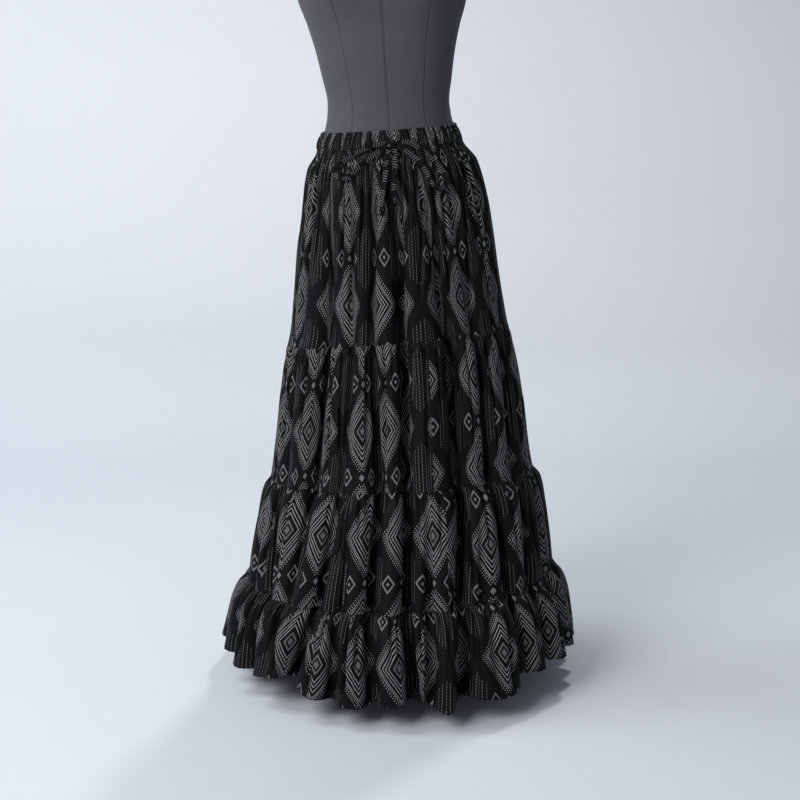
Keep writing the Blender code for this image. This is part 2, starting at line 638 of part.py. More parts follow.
def main():
    for old in list(bpy.data.objects):
        bpy.data.objects.remove(old, do_unlink=True)
    collection = bpy.data.collections.new("Tiered_skirt_on_form")
    bpy.context.scene.collection.children.link(collection)
    cloth = material("Printed cloth", (0.018, 0.018, 0.021), 0.62)
    cover = material("Form cover", (0.085, 0.085, 0.095), 0.85)
    metal = material("Stand metal", (0.05, 0.05, 0.052), 0.4)
    dark = material("Neck cap", (0.03, 0.03, 0.03), 0.5)
    build_form(collection, cover, metal, dark)
    build_waistband(collection, cloth)
    build_tiers(collection, cloth)
    build_drawstring(collection, cloth)


main()
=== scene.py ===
"""The looks of a tiered gathered skirt with an elastic drawstring waist, worn on a limbless dress form.

Metres, +Z up, and the front faces -Y. Angles round the figure are in degrees from the middle of the front,
positive towards +X.
"""

import math
from collections import namedtuple

import bpy
import numpy as np
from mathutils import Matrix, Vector


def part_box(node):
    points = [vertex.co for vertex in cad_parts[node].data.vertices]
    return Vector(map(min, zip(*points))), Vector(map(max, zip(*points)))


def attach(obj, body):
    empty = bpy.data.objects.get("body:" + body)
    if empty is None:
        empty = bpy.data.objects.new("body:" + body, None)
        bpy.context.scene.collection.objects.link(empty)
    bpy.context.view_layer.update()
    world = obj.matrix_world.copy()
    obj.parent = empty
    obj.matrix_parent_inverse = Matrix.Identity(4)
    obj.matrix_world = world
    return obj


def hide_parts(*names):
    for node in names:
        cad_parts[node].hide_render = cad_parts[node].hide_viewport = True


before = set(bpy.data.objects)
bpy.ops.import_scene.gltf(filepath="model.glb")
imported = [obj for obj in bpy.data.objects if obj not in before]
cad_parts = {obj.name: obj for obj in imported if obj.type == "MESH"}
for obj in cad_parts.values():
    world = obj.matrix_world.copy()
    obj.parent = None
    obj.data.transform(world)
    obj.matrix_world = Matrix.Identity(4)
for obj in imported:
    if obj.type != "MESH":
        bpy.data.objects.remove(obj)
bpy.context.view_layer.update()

# Stand: a turned steel foot with a low hub, and a straight pole that rises from it into the torso.
# Both are sprayed satin black, with a faint orange peel and a little dust. The neck cap is moulded plastic.
FOOT_RADIUS = 0.16
FOOT_RIM = 0.008
HUB_RADIUS = 0.024
HUB_HEIGHT = 0.030
CAP_RADIUS = 0.049
CAP_HEIGHT = 0.012
CAP_RIM = 0.005
CAP_CROWN = 0.018
SEAT_GAP = 0.0003  # between the cap and the torso
NECK_TOP = 1.545
NECK_SIDE = -0.0504  # the leaning neck's middle
TURNED_STEPS = 144


class Wire:
    """One output in a material's node tree, worked with like a number: arithmetic on it adds Math nodes."""

    def __init__(self, tree, socket=None):
        self.tree = tree
        self.socket = socket

    def node(self, kind, settings=None, inputs=None, output=0):
        """Adds a node of this kind: its settings first, then the values or wires of its sockets."""
        made = self.tree.nodes.new(kind)
        for name, value in (settings or {}).items():
            setattr(made, name, value)
        for name, value in (inputs or {}).items():
            if isinstance(value, Wire):
                self.tree.links.new(value.socket, made.inputs[name])
            else:
                made.inputs[name].default_value = value
        return Wire(self.tree, made.outputs[output])

    def beside(self, output):
        """Another output of the same node."""
        return Wire(self.tree, self.socket.node.outputs[output])

    def into(self, shader, name):
        """Feeds one of a shader's sockets."""
        self.tree.links.new(self.socket, shader.inputs[name])

    def math(self, operation, *values):
        """A Math node on these numbers and wires."""
        return self.node("ShaderNodeMath", {"operation": operation}, dict(enumerate(values)))

    def sine(self):
        return self.math("SINE", self)

    def nearest(self):
        """The nearest whole number."""
        return self.math("ROUND", self)

    def at_least(self, low):
        return self.math("MAXIMUM", self, low)

    def at_most(self, high):
        return self.math("MINIMUM", self, high)

    def __add__(self, other):
        return self.math("ADD", self, other)

    def __sub__(self, other):
        return self.math("SUBTRACT", self, other)

    def __rsub__(self, other):
        return self.math("SUBTRACT", other, self)

    def __mul__(self, other):
        return self.math("MULTIPLY", self, other)

    def __truediv__(self, other):
        return self.math("DIVIDE", self, other)

    def __lt__(self, other):
        return self.math("LESS_THAN", self, other)

    def __gt__(self, other):
        return self.math("GREATER_THAN", self, other)

    def __abs__(self):
        return self.math("ABSOLUTE", self)

    def __or__(self, other):
        return self.at_least(other)

    __radd__ = __add__
    __rmul__ = __mul__


def new_finish(name, fixed):
    """A Principled material with these fixed values: the material, its shader and a start for its wires."""
    made = bpy.data.materials.new(name)
    made.use_nodes = True
    shader = made.node_tree.nodes["Principled BSDF"]
    for socket, value in fixed.items():
        shader.inputs[socket].default_value = value
    return made, shader, Wire(made.node_tree)


def noise(place, scale, detail=2.0):
    """Soft random values near 0.5, with this many to the metre."""
    return place.node("ShaderNodeTexNoise", None, {"Vector": place, "Scale": scale, "Detail": detail}, "Fac")


def mixed(amount, first, second):
    """From the first colour at 0 to the second at 1."""
    return amount.node("ShaderNodeMix", {"data_type": "RGBA"}, {0: amount, 6: first, 7: second}, 2)


def bump(height, distance, after=None):
    """A surface relief from a height between 0 and 1, its full depth in metres."""
    inputs = {"Height": height, "Distance": distance, "Strength": 1.0}
    if after:
        inputs["Normal"] = after
    return height.node("ShaderNodeBump", None, inputs, "Normal")


def surface(name, points, finish, around=False, capped=False, maps=None, values=None):
    """A smooth mesh through a grid of points, rows from the top and columns towards +X at the front.

    around joins the last column to the first, and capped closes the first and last rows. maps are UV grids,
    with one more column than the points where the mesh goes around. values are numbers at the points.
    """
    rows, columns = points.shape[:2]
    across = columns if around else columns - 1
    r, c = np.meshgrid(np.arange(rows - 1), np.arange(across), indexing="ij")
    r, c = r.ravel(), c.ravel()
    d = (c + 1) % columns
    quads = np.stack([r * columns + c, (r + 1) * columns + c, (r + 1) * columns + d, r * columns + d], axis=1)
    faces = quads.tolist()
    if capped:
        faces.append(list(range(columns)))
        faces.append(list(range(rows * columns - 1, (rows - 1) * columns - 1, -1)))
    mesh = bpy.data.meshes.new(name)
    mesh.from_pydata(points.reshape(-1, 3).tolist(), [], faces)
    for map_name, grid in (maps or {}).items():
        corners = np.stack([grid[r, c], grid[r + 1, c], grid[r + 1, c + 1], grid[r, c + 1]], axis=1)
        flat = np.zeros((len(mesh.loops), 2), np.float32)
        flat[: 4 * len(quads)] = corners.reshape(-1, 2)
        mesh.uv_layers.new(name=map_name).data.foreach_set("uv", flat.ravel())
    for value_name, grid in (values or {}).items():
        kept = mesh.attributes.new(value_name, "FLOAT", "POINT")
        kept.data.foreach_set("value", grid.astype(np.float32).ravel())
    mesh.shade_smooth()
    mesh.materials.append(finish)
    made = bpy.data.objects.new(name, mesh)
    bpy.context.scene.collection.objects.link(made)
    return made


def rounded(outline, radius, steps=5):
    """An outline with each inner corner turned into an arc: a quadratic curve between two cuts beside it."""
    outline = np.asarray(outline, float)
    found = [outline[:1]]
    for before, corner, after in zip(outline, outline[1:], outline[2:]):
        cut = [radius / max(np.linalg.norm(end - corner), 2.2 * radius) for end in (before, after)]
        start, stop = corner + cut[0] * (before - corner), corner + cut[1] * (after - corner)
        t = np.linspace(0, 1, steps)[:, None]
        found.append((1 - t) ** 2 * start + 2 * t * (1 - t) * corner + t * t * stop)
    return np.concatenate([*found, outline[-1:]])


def turned(outline, x=0.0, z=0.0):
    """An outline of radius and height spun round an upright axis: (r sin a, -r cos a, h) for a whole turn."""
    angle = np.linspace(0, 2 * np.pi, TURNED_STEPS, endpoint=False)
    radius, height = outline[:, :1], outline[:, 1:]
    return np.stack([x + radius * np.sin(angle), -radius * np.cos(angle), z + height + 0 * angle], axis=2)


stand_paint, shader, start = new_finish("Satin black paint", {"Specular IOR Level": 0.5})
place = start.node("ShaderNodeTexCoord", output="Object")
dust = ((noise(place, 22.0, 4.0) - 0.5) * 2.2).at_least(0.0)
mixed(dust, (0.020, 0.020, 0.022, 1), (0.075, 0.072, 0.070, 1)).into(shader, "Base Color")
(0.30 + dust * 0.4).into(shader, "Roughness")
bump(noise(place, 700.0), 0.00008).into(shader, "Normal")

foot_outline = rounded(
    (
        (0.0005, HUB_HEIGHT),
        (HUB_RADIUS, HUB_HEIGHT),
        (HUB_RADIUS + 0.006, FOOT_RIM + 0.010),
        (FOOT_RADIUS - 0.008, FOOT_RIM),
        (FOOT_RADIUS, FOOT_RIM - 0.003),
        (FOOT_RADIUS, 0.0),
        (0.0005, 0.0),
    ),
    0.0025,
)
foot = surface("stand_foot", turned(foot_outline), stand_paint, around=True, capped=True)
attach(foot, "root")
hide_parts("form_foot")
pole_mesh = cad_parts["form_pole"].data
pole_mesh.materials.clear()
pole_mesh.materials.append(stand_paint)

cap_plastic, shader, start = new_finish("Black moulded plastic", {"Specular IOR Level": 0.45})
place = start.node("ShaderNodeTexCoord", output="Object")
grain = noise(place, 1500.0)
mixed(grain, (0.018, 0.018, 0.018, 1), (0.034, 0.034, 0.034, 1)).into(shader, "Base Color")
(0.36 + grain * 0.2).into(shader, "Roughness")
bump(grain, 0.00006).into(shader, "Normal")
cap_outline = rounded(
    (
        (0.0005, CAP_HEIGHT),
        (CAP_CROWN, CAP_HEIGHT),
        (CAP_RADIUS, CAP_RIM),
        (CAP_RADIUS, 0.0),
        (0.0005, 0.0),
    ),
    0.0018,
)
cap = surface(
    "neck_cap", turned(cap_outline, NECK_SIDE, NECK_TOP + SEAT_GAP), cap_plastic, around=True, capped=True
)
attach(cap, "root")
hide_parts("form_neck_cap")

# Dress form: a padded torso without limbs, covered in charcoal jersey that is sewn from upright panels.
# Its seams run down the middle, over the bust, at the sides and down the back. It leans a little.
FormSection = namedtuple("FormSection", "height half_width front back")


def table(kind, *rows):
    """Rows of numbers made records of this kind, so that its columns have names."""
    return tuple(kind(*row) for row in rows)


FORM = table(
    FormSection,
    (0.757, 0.114, 0.074, 0.086),
    (0.775, 0.138, 0.090, 0.104),
    (0.820, 0.151, 0.098, 0.118),
    (0.870, 0.154, 0.100, 0.121),
    (0.920, 0.150, 0.100, 0.115),
    (0.960, 0.143, 0.098, 0.108),
    (1.006, 0.129, 0.090, 0.097),
    (1.037, 0.117, 0.084, 0.090),
    (1.060, 0.112, 0.082, 0.088),
    (1.083, 0.110, 0.082, 0.087),
    (1.128, 0.117, 0.086, 0.090),
    (1.173, 0.125, 0.092, 0.095),
    (1.217, 0.136, 0.098, 0.100),
    (1.261, 0.150, 0.105, 0.104),
    (1.300, 0.157, 0.106, 0.107),
    (1.345, 0.159, 0.100, 0.110),
    (1.385, 0.158, 0.088, 0.106),
    (1.415, 0.150, 0.074, 0.094),
    (1.440, 0.132, 0.064, 0.082),
    (1.460, 0.106, 0.058, 0.071),
    (1.476, 0.078, 0.054, 0.062),
    (1.494, 0.060, 0.053, 0.056),
    (1.545, 0.053, 0.052, 0.052),
)
FORM_SQUARENESS = 2.3
FORM_LEAN = 0.064
BUST_HEIGHT = 1.292
BUST_ANGLE = 34.0
BUST_REACH = 0.021
BUST_SPREAD = (24.0, 0.048)  # degrees round, metres up
COVER_ROWS = 130
COVER_COLUMNS = 180
COVER_SEAMS = (-180, -140, -92, -32, 0, 32, 92, 140)
BESIDE_SEAM = (-1.6, -0.9, -0.45, 0.0, 0.45, 0.9, 1.6)  # columns that follow a seam, in degrees from it
SEAM_DEPTH = 0.0007
SEAM_HALF_WIDTH = 0.0011
FORM_ROUND = 0.11  # the torso's mean radius, to turn degrees into metres of cover
WALE = 0.0012
COURSE = 0.0009


def smooth(at, xs, ys):
    """The monotone cubic curve through the points (xs, ys), xs rising."""
    xs, ys = np.asarray(xs, float), np.asarray(ys, float)
    run = np.diff(xs)
    rise = np.diff(ys) / run
    slope = np.concatenate([rise[:1], np.zeros(len(xs) - 2), rise[-1:]])
    both = rise[:-1] * rise[1:]
    total = rise[:-1] + rise[1:]
    slope[1:-1] = np.where(both > 0, 2 * both / np.where(total == 0, 1, total), 0)
    i = np.clip(np.searchsorted(xs, at) - 1, 0, len(run) - 1)
    t = np.clip((at - xs[i]) / run[i], 0, 1)
    before = (1 + 2 * t) * (1 - t) ** 2 * ys[i] + t * (1 - t) ** 2 * run[i] * slope[i]
    after = t * t * (3 - 2 * t) * ys[i + 1] - t * t * (1 - t) * run[i] * slope[i + 1]
    return before + after


def column(rows, name, at):
    """One named column of a table, read at a height between its rows."""
    rows = sorted(rows, key=lambda row: row.height)
    return smooth(at, [row.height for row in rows], [getattr(row, name) for row in rows])


def signed_power(value, power):
    """|value| ** power with the value's sign, which squares off a sine or a cosine."""
    return np.sign(value) * np.abs(value) ** power


def form_centre(z):
    """Where the leaning form's middle is at a height."""
    return -FORM_LEAN * np.maximum(z - FORM[0].height, 0)


def form_point(phi, z, out=0.0):
    """x and y of the form at an angle and a height: a superellipse, with a bell-shaped swell on each side."""
    sine, cosine = np.sin(phi), np.cos(phi)
    power = 2 / FORM_SQUARENESS
    half = column(FORM, "half_width", z) + out
    depth = np.where(cosine > 0, column(FORM, "front", z), column(FORM, "back", z)) + out
    round_deg, up = BUST_SPREAD
    level = np.exp(-(((z - BUST_HEIGHT) / up) ** 2))
    sides = sum(np.exp(-(((np.degrees(phi) - side * BUST_ANGLE) / round_deg) ** 2)) for side in (-1, 1))
    x = form_centre(z) + half * signed_power(sine, power)
    y = -depth * signed_power(cosine, power) - BUST_REACH * level * sides
    return x, y


def torso(degrees, heights):
    """The cover's points, and how near each is to a seam, 0 to 1: the form with a groove along each seam."""
    phi, z = np.meshgrid(np.radians(degrees), heights)
    x, y = form_point(phi, z)
    away = np.abs((np.degrees(phi)[..., None] - np.array(COVER_SEAMS) + 180) % 360 - 180).min(axis=2)
    near = np.exp(-((np.radians(away) * FORM_ROUND / SEAM_HALF_WIDTH) ** 2))
    radius = np.hypot(x - form_centre(z), y)
    shrunk = 1 - SEAM_DEPTH * near / radius
    return np.stack([form_centre(z) + (x - form_centre(z)) * shrunk, y * shrunk, z], axis=2), near


even = np.linspace(-180, 180, COVER_COLUMNS, endpoint=False)
beside = np.add.outer(COVER_SEAMS, BESIDE_SEAM).ravel()
clear = np.abs((even[:, None] - np.array(COVER_SEAMS) + 180) % 360 - 180).min(axis=1) > max(BESIDE_SEAM)
degrees = np.sort(np.concatenate([even[clear], (beside + 180) % 360 - 180]))
heights = np.linspace(FORM[-1].height, FORM[0].height, COVER_ROWS)
points, near = torso(degrees, heights)
cover_map = np.stack(np.meshgrid(np.radians(np.append(degrees, 180)) * FORM_ROUND, heights), axis=2)

def ripple(value, period):
    """A sine wave that repeats at this period."""
    return (value * (2 * math.pi / period)).sine()


jersey, shader, start = new_finish("Charcoal jersey", {"Specular IOR Level": 0.2, "Sheen Weight": 0.06})
where = start.node("ShaderNodeUVMap", {"uv_map": "Cover"}, output="UV")
place = start.node("ShaderNodeTexCoord", output="Object")
across = where.node("ShaderNodeSeparateXYZ", None, {"Vector": where}, "X")
up = across.beside("Y")
seam = start.node("ShaderNodeAttribute", {"attribute_name": "seam"}, output="Fac")
knit = bump((ripple(across, WALE) + ripple(up, COURSE)) * 0.25 + 0.5, 0.00012)
lint = (noise(place, 420.0) > 0.80) * 0.35
tone = noise(place, 9.0, 4.0) * 0.5 + noise(place, 260.0) * 0.5
shade = mixed(tone, (0.044, 0.044, 0.051, 1), (0.068, 0.068, 0.077, 1))
shade = mixed(lint, shade, (0.13, 0.13, 0.14, 1))
mixed(seam * 0.55, shade, (0.022, 0.022, 0.025, 1)).into(shader, "Base Color")
(0.72 + tone * 0.2).into(shader, "Roughness")
bump(noise(place, 55.0, 3.0), 0.0009, knit).into(shader, "Normal")
cover = surface(
    "jersey_cover", points, jersey, around=True, capped=True, maps={"Cover": cover_map}, values={"seam": near}
)
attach(cover, "root")
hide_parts("form_torso")

# Skirt tiers: four rings of light black viscose, printed in grey with nested diamonds. Each is cut wider than
# the one above, joined by upright seams and gathered on to it. The last has a narrow hem.
Level = namedtuple("Level", "height half_width front back centre slope lift")
TIER_1 = table(
    Level,
    (1.0062, 0.1345, 0.0940, 0.1010, -0.0157, 0.064, 0.000),
    (0.9870, 0.1490, 0.1040, 0.1130, -0.0155, 0.062, 0.000),
    (0.9540, 0.1600, 0.1120, 0.1250, -0.0130, 0.060, 0.000),
    (0.9150, 0.1680, 0.1180, 0.1360, -0.0100, 0.060, 0.001),
    (0.8830, 0.1735, 0.1220, 0.1420, -0.0085, 0.060, 0.002),
    (0.8310, 0.1817, 0.1260, 0.1480, -0.0080, 0.062, 0.003),
    (0.7730, 0.1890, 0.1300, 0.1530, -0.0070, 0.068, 0.005),
    (0.7270, 0.1955, 0.1330, 0.1580, -0.0060, 0.073, 0.006),
    (0.6755, 0.2035, 0.1360, 0.1630, -0.0045, 0.079, 0.008),
    (0.6533, 0.2085, 0.1380, 0.1660, -0.0045, 0.080, 0.008),
)
TIER_2 = table(
    Level,
    TIER_1[-1],
    (0.6400, 0.2150, 0.1460, 0.1730, -0.0035, 0.079, 0.008),
    (0.6200, 0.2195, 0.1500, 0.1770, -0.0025, 0.077, 0.008),
    (0.5940, 0.2235, 0.1540, 0.1810, -0.0015, 0.073, 0.008),
    (0.5480, 0.2305, 0.1630, 0.1890, -0.0005, 0.065, 0.008),
    (0.4830, 0.2385, 0.1770, 0.2000, 0.0005, 0.055, 0.008),
    (0.4100, 0.2490, 0.1910, 0.2140, 0.0020, 0.046, 0.008),
    (0.3930, 0.2520, 0.1950, 0.2170, 0.0025, 0.044, 0.008),
)
TIER_3 = table(
    Level,
    TIER_2[-1],
    (0.3780, 0.2655, 0.2070, 0.2280, 0.0035, 0.044, 0.006),
    (0.3600, 0.2720, 0.2140, 0.2350, 0.0035, 0.044, 0.004),
    (0.3250, 0.2790, 0.2260, 0.2450, 0.0035, 0.043, 0.002),
    (0.2790, 0.2880, 0.2430, 0.2570, 0.0026, 0.043, -0.002),
    (0.2380, 0.2950, 0.2570, 0.2680, 0.0017, 0.043, -0.005),
    (0.2020, 0.2995, 0.2660, 0.2740, 0.0013, 0.043, -0.006),
)
TIER_4 = table(
    Level,
    TIER_3[-1],
    (0.1880, 0.3170, 0.2840, 0.2910, 0.0010, 0.041, -0.006),
    (0.1720, 0.3265, 0.2940, 0.3000, 0.0010, 0.038, -0.006),
    (0.1470, 0.3350, 0.3030, 0.3090, 0.0010, 0.030, -0.004),
    (0.1056, 0.3435, 0.3140, 0.3190, 0.0010, 0.015, -0.002),
    (0.0500, 0.3530, 0.3260, 0.3300, 0.0000, 0.000, 0.000),
)
HemPoint = namedtuple("HemPoint", "angle rise")
HEM = table(
    HemPoint,
    (-180, 0.008),
    (-100, 0.012),
    (-78, 0.010),
    (-62, 0.002),
    (-38, 0.016),
    (-26, -0.004),
    (-12, -0.008),
    (4, 0.000),
    (14, -0.016),
    (22, 0.000),
    (33, -0.006),
    (50, 0.020),
    (66, 0.022),
    (84, 0.018),
    (180, 0.008),
)
# Main folds of the front: angle in degrees, depth in millimetres and width in degrees, each at the band,
# at the three seams and at the hem. A negative depth stands out
Fold = namedtuple("Fold", "angle depth width")
FRONT_FOLDS = table(
    Fold,
    ((-85, -86, -86, -86, -84), (2, 4, 6, 14, 34), (6, 6, 5, 4.5, 4.0)),
    ((-74, -76, -76, -73, -71), (1, 3, 6, 18, 38), (6, 6, 5, 4.5, 4.0)),
    ((-60, -65, -64, -59, -57), (3, 10, 14, 24, 42), (6, 6, 6, 4.5, 4.0)),
    ((-43.5, -41, -44, -46, -47), (4, 30, 32, 14, 4), (6, 6.5, 6.5, 4.5, 3.0)),
    ((-30, -23, -27, -32.7, -38), (2, 12, 12, 32, 46), (4.5, 4.5, 4.5, 4.2, 5.0)),
    ((-20, -19, -20, -22, -22.3), (0, 0, 0, 16, 34), (4, 4, 3.5, 3.2, 3.2)),
    ((-14, -13, -9.8, -11.3, -8.7), (3, 18, 30, 36, 32), (4, 4.2, 4.2, 3.6, 3.0)),
    ((-1, 3, 2.5, 2.3, 4.0), (4, 36, 30, 38, 44), (4, 3.8, 3.2, 3.0, 3.0)),
    ((9, 10, 10, 10.5, 9.3), (0, 0, 0, 22, 30), (4, 4, 3.2, 3.0, 3.0)),
    ((12, 15, 14, 15, 13.9), (0, 0, 0, 0, -12), (4, 4, 3.2, 3.0, 3.4)),
    ((17, 27.5, 26, 22.7, 20.2), (4, 34, 36, 34, 46), (5, 5.2, 5.0, 4.2, 3.4)),
    ((26, 34, 33, 31, 31), (0, 0, 0, 16, 4), (4, 4, 3.5, 3.2, 3.0)),
    ((37, 45, 42, 43.6, 44), (3, 18, 22, 28, 44), (5, 5, 4.5, 4.0, 4.0)),
    ((52, 63, 59, 56.2, 56.3), (2, 12, 16, 26, 42), (5, 6, 5, 4.2, 3.6)),
    ((68, 73, 72, 70, 70.6), (2, 5, 8, 22, 42), (5, 5, 5, 4.5, 4.0)),
    ((80, 82, 82, 82, 82.5), (0, 2, 5, 18, 38), (5, 5, 5, 4.5, 4.0)),
)
BACK_TURN = 176.0  # the back carries the front's folds, with this less their angle
CREASE_TURN = 178.0  # and the front's creases, set off a little from its folds
FOLD_POWER = 1.6
WAVE_DEPTH = 0.005  # the larger gathers under each seam
WAVE_AT = 0.10  # where they are fullest and how fast they fade below it, as shares of the tier's length
WAVE_FADE = 0.14
WORN = 0.10  # the share of the first tier's length over which it leaves the form
FORM_CLEARANCE = 0.0034
BAND_THICKNESS = 0.0034
BAND_BULGE = 0.0012
DENSE = 60  # points between two folds, before the columns are picked

# Narrow creases between and inside those folds, as seen at the front: the angle in degrees at the top and the
# bottom of the tier, where they start and end as shares of its length, depth in millimetres, width in degrees
Crease = namedtuple("Crease", "top bottom start end depth width")
CREASES_1 = table(
    Crease,
    (-82.0, -82.0, 0.02, 0.80, 6.0, 1.1),
    (-75.0, -76.5, 0.03, 0.95, 7.0, 1.1),
    (-68.5, -71.5, 0.02, 0.80, 7.0, 1.1),
    (-61.0, -64.0, 0.05, 1.00, 8.0, 1.1),
    (-53.0, -55.0, 0.02, 0.70, 8.0, 1.0),
    (-46.0, -40.0, 0.02, 1.00, 11.0, 1.0),
    (-39.5, -36.5, 0.02, 0.50, 7.0, 0.9),
    (-33.5, -31.0, 0.02, 0.72, 9.0, 0.9),
    (-26.0, -25.5, 0.04, 0.95, 8.0, 1.0),
    (-19.0, -22.0, 0.02, 0.66, 8.0, 0.9),
    (-11.5, -14.0, 0.02, 1.00, 10.0, 1.0),
    (-3.5, -1.5, 0.02, 0.50, 7.5, 0.9),
    (4.5, 2.0, 0.02, 1.00, 11.0, 1.1),
    (9.5, 7.0, 0.02, 0.45, 7.5, 0.9),
    (14.5, 13.5, 0.02, 0.30, 6.0, 0.8),
    (20.5, 10.0, 0.02, 0.85, 10.0, 1.0),
    (24.5, 25.5, 0.02, 1.00, 10.0, 1.0),
    (31.5, 29.5, 0.04, 1.00, 9.0, 1.0),
    (37.0, 36.0, 0.02, 0.55, 8.0, 0.9),
    (43.0, 39.5, 0.02, 0.40, 6.0, 0.9),
    (49.0, 43.5, 0.02, 1.00, 10.0, 1.0),
    (54.0, 57.5, 0.02, 0.55, 8.0, 1.0),
    (59.0, 64.5, 0.05, 1.00, 9.0, 1.0),
    (66.0, 70.0, 0.02, 0.90, 7.0, 1.1),
    (74.0, 77.0, 0.03, 0.85, 7.0, 1.1),
)
CREASES_2 = table(
    Crease,
    (-70.0, -70.0, 0.02, 0.90, 8.0, 1.0),
    (-52.0, -52.5, 0.02, 0.80, 8.0, 0.9),
    (-35.5, -34.5, 0.02, 1.00, 12.0, 0.9),
    (-29.5, -27.0, 0.02, 0.90, 8.0, 0.8),
    (-21.0, -20.0, 0.02, 0.45, 6.0, 0.8),
    (-15.5, -14.5, 0.02, 0.80, 9.0, 0.8),
    (-7.5, -7.0, 0.02, 0.90, 9.0, 0.8),
    (-2.5, -3.5, 0.02, 0.35, 5.0, 0.8),
    (6.0, 7.0, 0.02, 0.55, 8.0, 0.8),
    (13.0, 11.5, 0.02, 1.00, 6.0, 0.7),
    (19.5, 18.5, 0.02, 0.60, 6.0, 0.8),
    (29.5, 30.0, 0.02, 1.00, 10.0, 0.8),
    (35.5, 35.0, 0.04, 0.80, 7.0, 0.8),
    (50.0, 49.0, 0.02, 0.85, 9.0, 0.9),
    (66.5, 65.0, 0.02, 0.90, 8.0, 1.0),
)
CREASES_3 = table(
    Crease,
    (-66.0, -65.0, 0.02, 0.95, 10.0, 0.9),
    (-53.5, -54.0, 0.02, 0.95, 10.0, 0.9),
    (-40.5, -40.5, 0.02, 0.90, 18.0, 1.0),
    (-24.5, -24.5, 0.02, 0.70, 9.0, 0.8),
    (-16.5, -15.5, 0.02, 0.45, 7.0, 0.8),
    (-6.0, -6.5, 0.02, 0.50, 7.0, 0.8),
    (6.5, 6.0, 0.02, 0.60, 7.0, 0.8),
    (15.5, 14.5, 0.02, 0.60, 7.0, 0.8),
    (26.0, 28.0, 0.04, 1.00, 13.0, 0.9),
    (35.0, 36.0, 0.02, 0.60, 9.0, 0.9),
    (49.0, 50.0, 0.02, 0.80, 9.0, 0.9),
    (63.0, 63.0, 0.02, 0.90, 10.0, 0.9),
)
CREASES_4 = table(
    Crease,
    (-64.0, -64.0, 0.02, 0.95, 12.0, 0.9),
    (-48.0, -42.5, 0.02, 1.00, 15.0, 1.0),
    (-30.0, -29.0, 0.02, 1.00, 14.0, 0.9),
    (-26.0, -26.5, 0.02, 0.50, 9.0, 0.7),
    (-18.0, -17.5, 0.02, 1.00, 14.0, 0.8),
    (-13.5, -14.0, 0.02, 0.70, 9.0, 0.7),
    (-2.5, -3.0, 0.02, 0.60, 9.0, 0.8),
    (6.5, 5.5, 0.02, 0.90, 12.0, 0.8),
    (15.5, 16.0, 0.02, 0.55, 9.0, 0.7),
    (25.0, 24.0, 0.02, 0.85, 12.0, 0.8),
    (37.5, 36.5, 0.02, 1.00, 13.0, 0.9),
    (50.0, 50.0, 0.02, 0.90, 12.0, 0.9),
    (64.0, 63.0, 0.02, 0.95, 12.0, 0.9),
)

# How each tier is cut and sewn. seams are the angles of its upright seams, and waves counts its larger
# gathers. wide is the cut of what shows all round, and hidden the cloth tucked away in the valleys, in metres.
# small counts its small gathers, and deep and reach are how deep and how long those are. wrinkles counts its
# long wrinkles, and drawn is how much deeper the bottom of each main fold is pulled in, as a share of its
# depth. prints places the print on each strip. The mesh has columns round and rows down
Tier = namedtuple(
    "Tier", "levels seams waves wide hidden columns rows small deep reach wrinkles drawn creases prints"
)
TIERS = (
    Tier(
        TIER_1, (-92, 88), 0, 1.52, 0.52, 760, 72, 84, 0.0080, 0.100, 36, 0.0, CREASES_1,
        ((0.000, 0.060), (0.018, 0.060)),
    ),
    Tier(
        TIER_2, (14, 194), 18, 1.96, 0.44, 860, 52, 104, 0.0042, 0.050, 36, 0.50, CREASES_2,
        ((0.020, 0.100), (0.040, 0.016)),
    ),
    Tier(
        TIER_3, (17, 137, 257), 20, 2.30, 0.00, 1060, 40, 128, 0.0050, 0.044, 34, 0.55, CREASES_3,
        ((0.010, 0.060), (0.050, 0.020), (0.0, 0.09)),
    ),
    Tier(
        TIER_4, (-28, 63, 153, 243), 20, 3.15, 0.00, 1340, 38, 156, 0.0062, 0.042, 38, 0.45, CREASES_4,
        ((0.010, 0.072), (0.0, 0.12), (0.06, 0.03), (0.05, 0.10)),
    ),
)
CREASE_HALF_WIDTH = 1.05  # degrees
CLOTH_THICKNESS = 0.0008
OFF_TORSO = 2.2 * CLOTH_THICKNESS
WRINKLE_DEPTH = 0.0024
WRINKLE_WIDTHS = (0.005, 0.010)
PUCKER_DEPTH = 0.0007
PUCKER_PITCH = 0.0135
PUCKER_DRIFT = 2.1
PUCKER_DRIFT_PITCH = 0.21
PUCKER_REACH = 0.009
TUCK = 0.0016  # how far a tier's top edge goes up behind the edge of the one above
HEM_HEIGHT = 0.010
NO_HEM = 1.0  # added to the height above a lower edge that has no hem
VALLEY = 0.020  # a valley this deep takes in its full share of the hidden cloth


def wrapped(degrees):
    """An angle difference brought between -180 and 180."""
    return (degrees + 180) % 360 - 180


def fade(t):
    """0 below 0, 1 above 1, and smooth between."""
    t = np.clip(t, 0, 1)
    return t * t * (3 - 2 * t)


def all_folds():
    """The front's folds and the same ones turned over to the back, in the order that they come round."""
    back = [
        Fold(tuple(BACK_TURN - angle for angle in fold.angle), fold.depth, fold.width)
        for fold in reversed(FRONT_FOLDS)
    ]
    return list(FRONT_FOLDS) + back


def at_share(values, tier, share):
    """One of a fold's five-entry columns, read part of the way down a tier."""
    return (1 - share) * values[tier] + share * values[tier + 1]


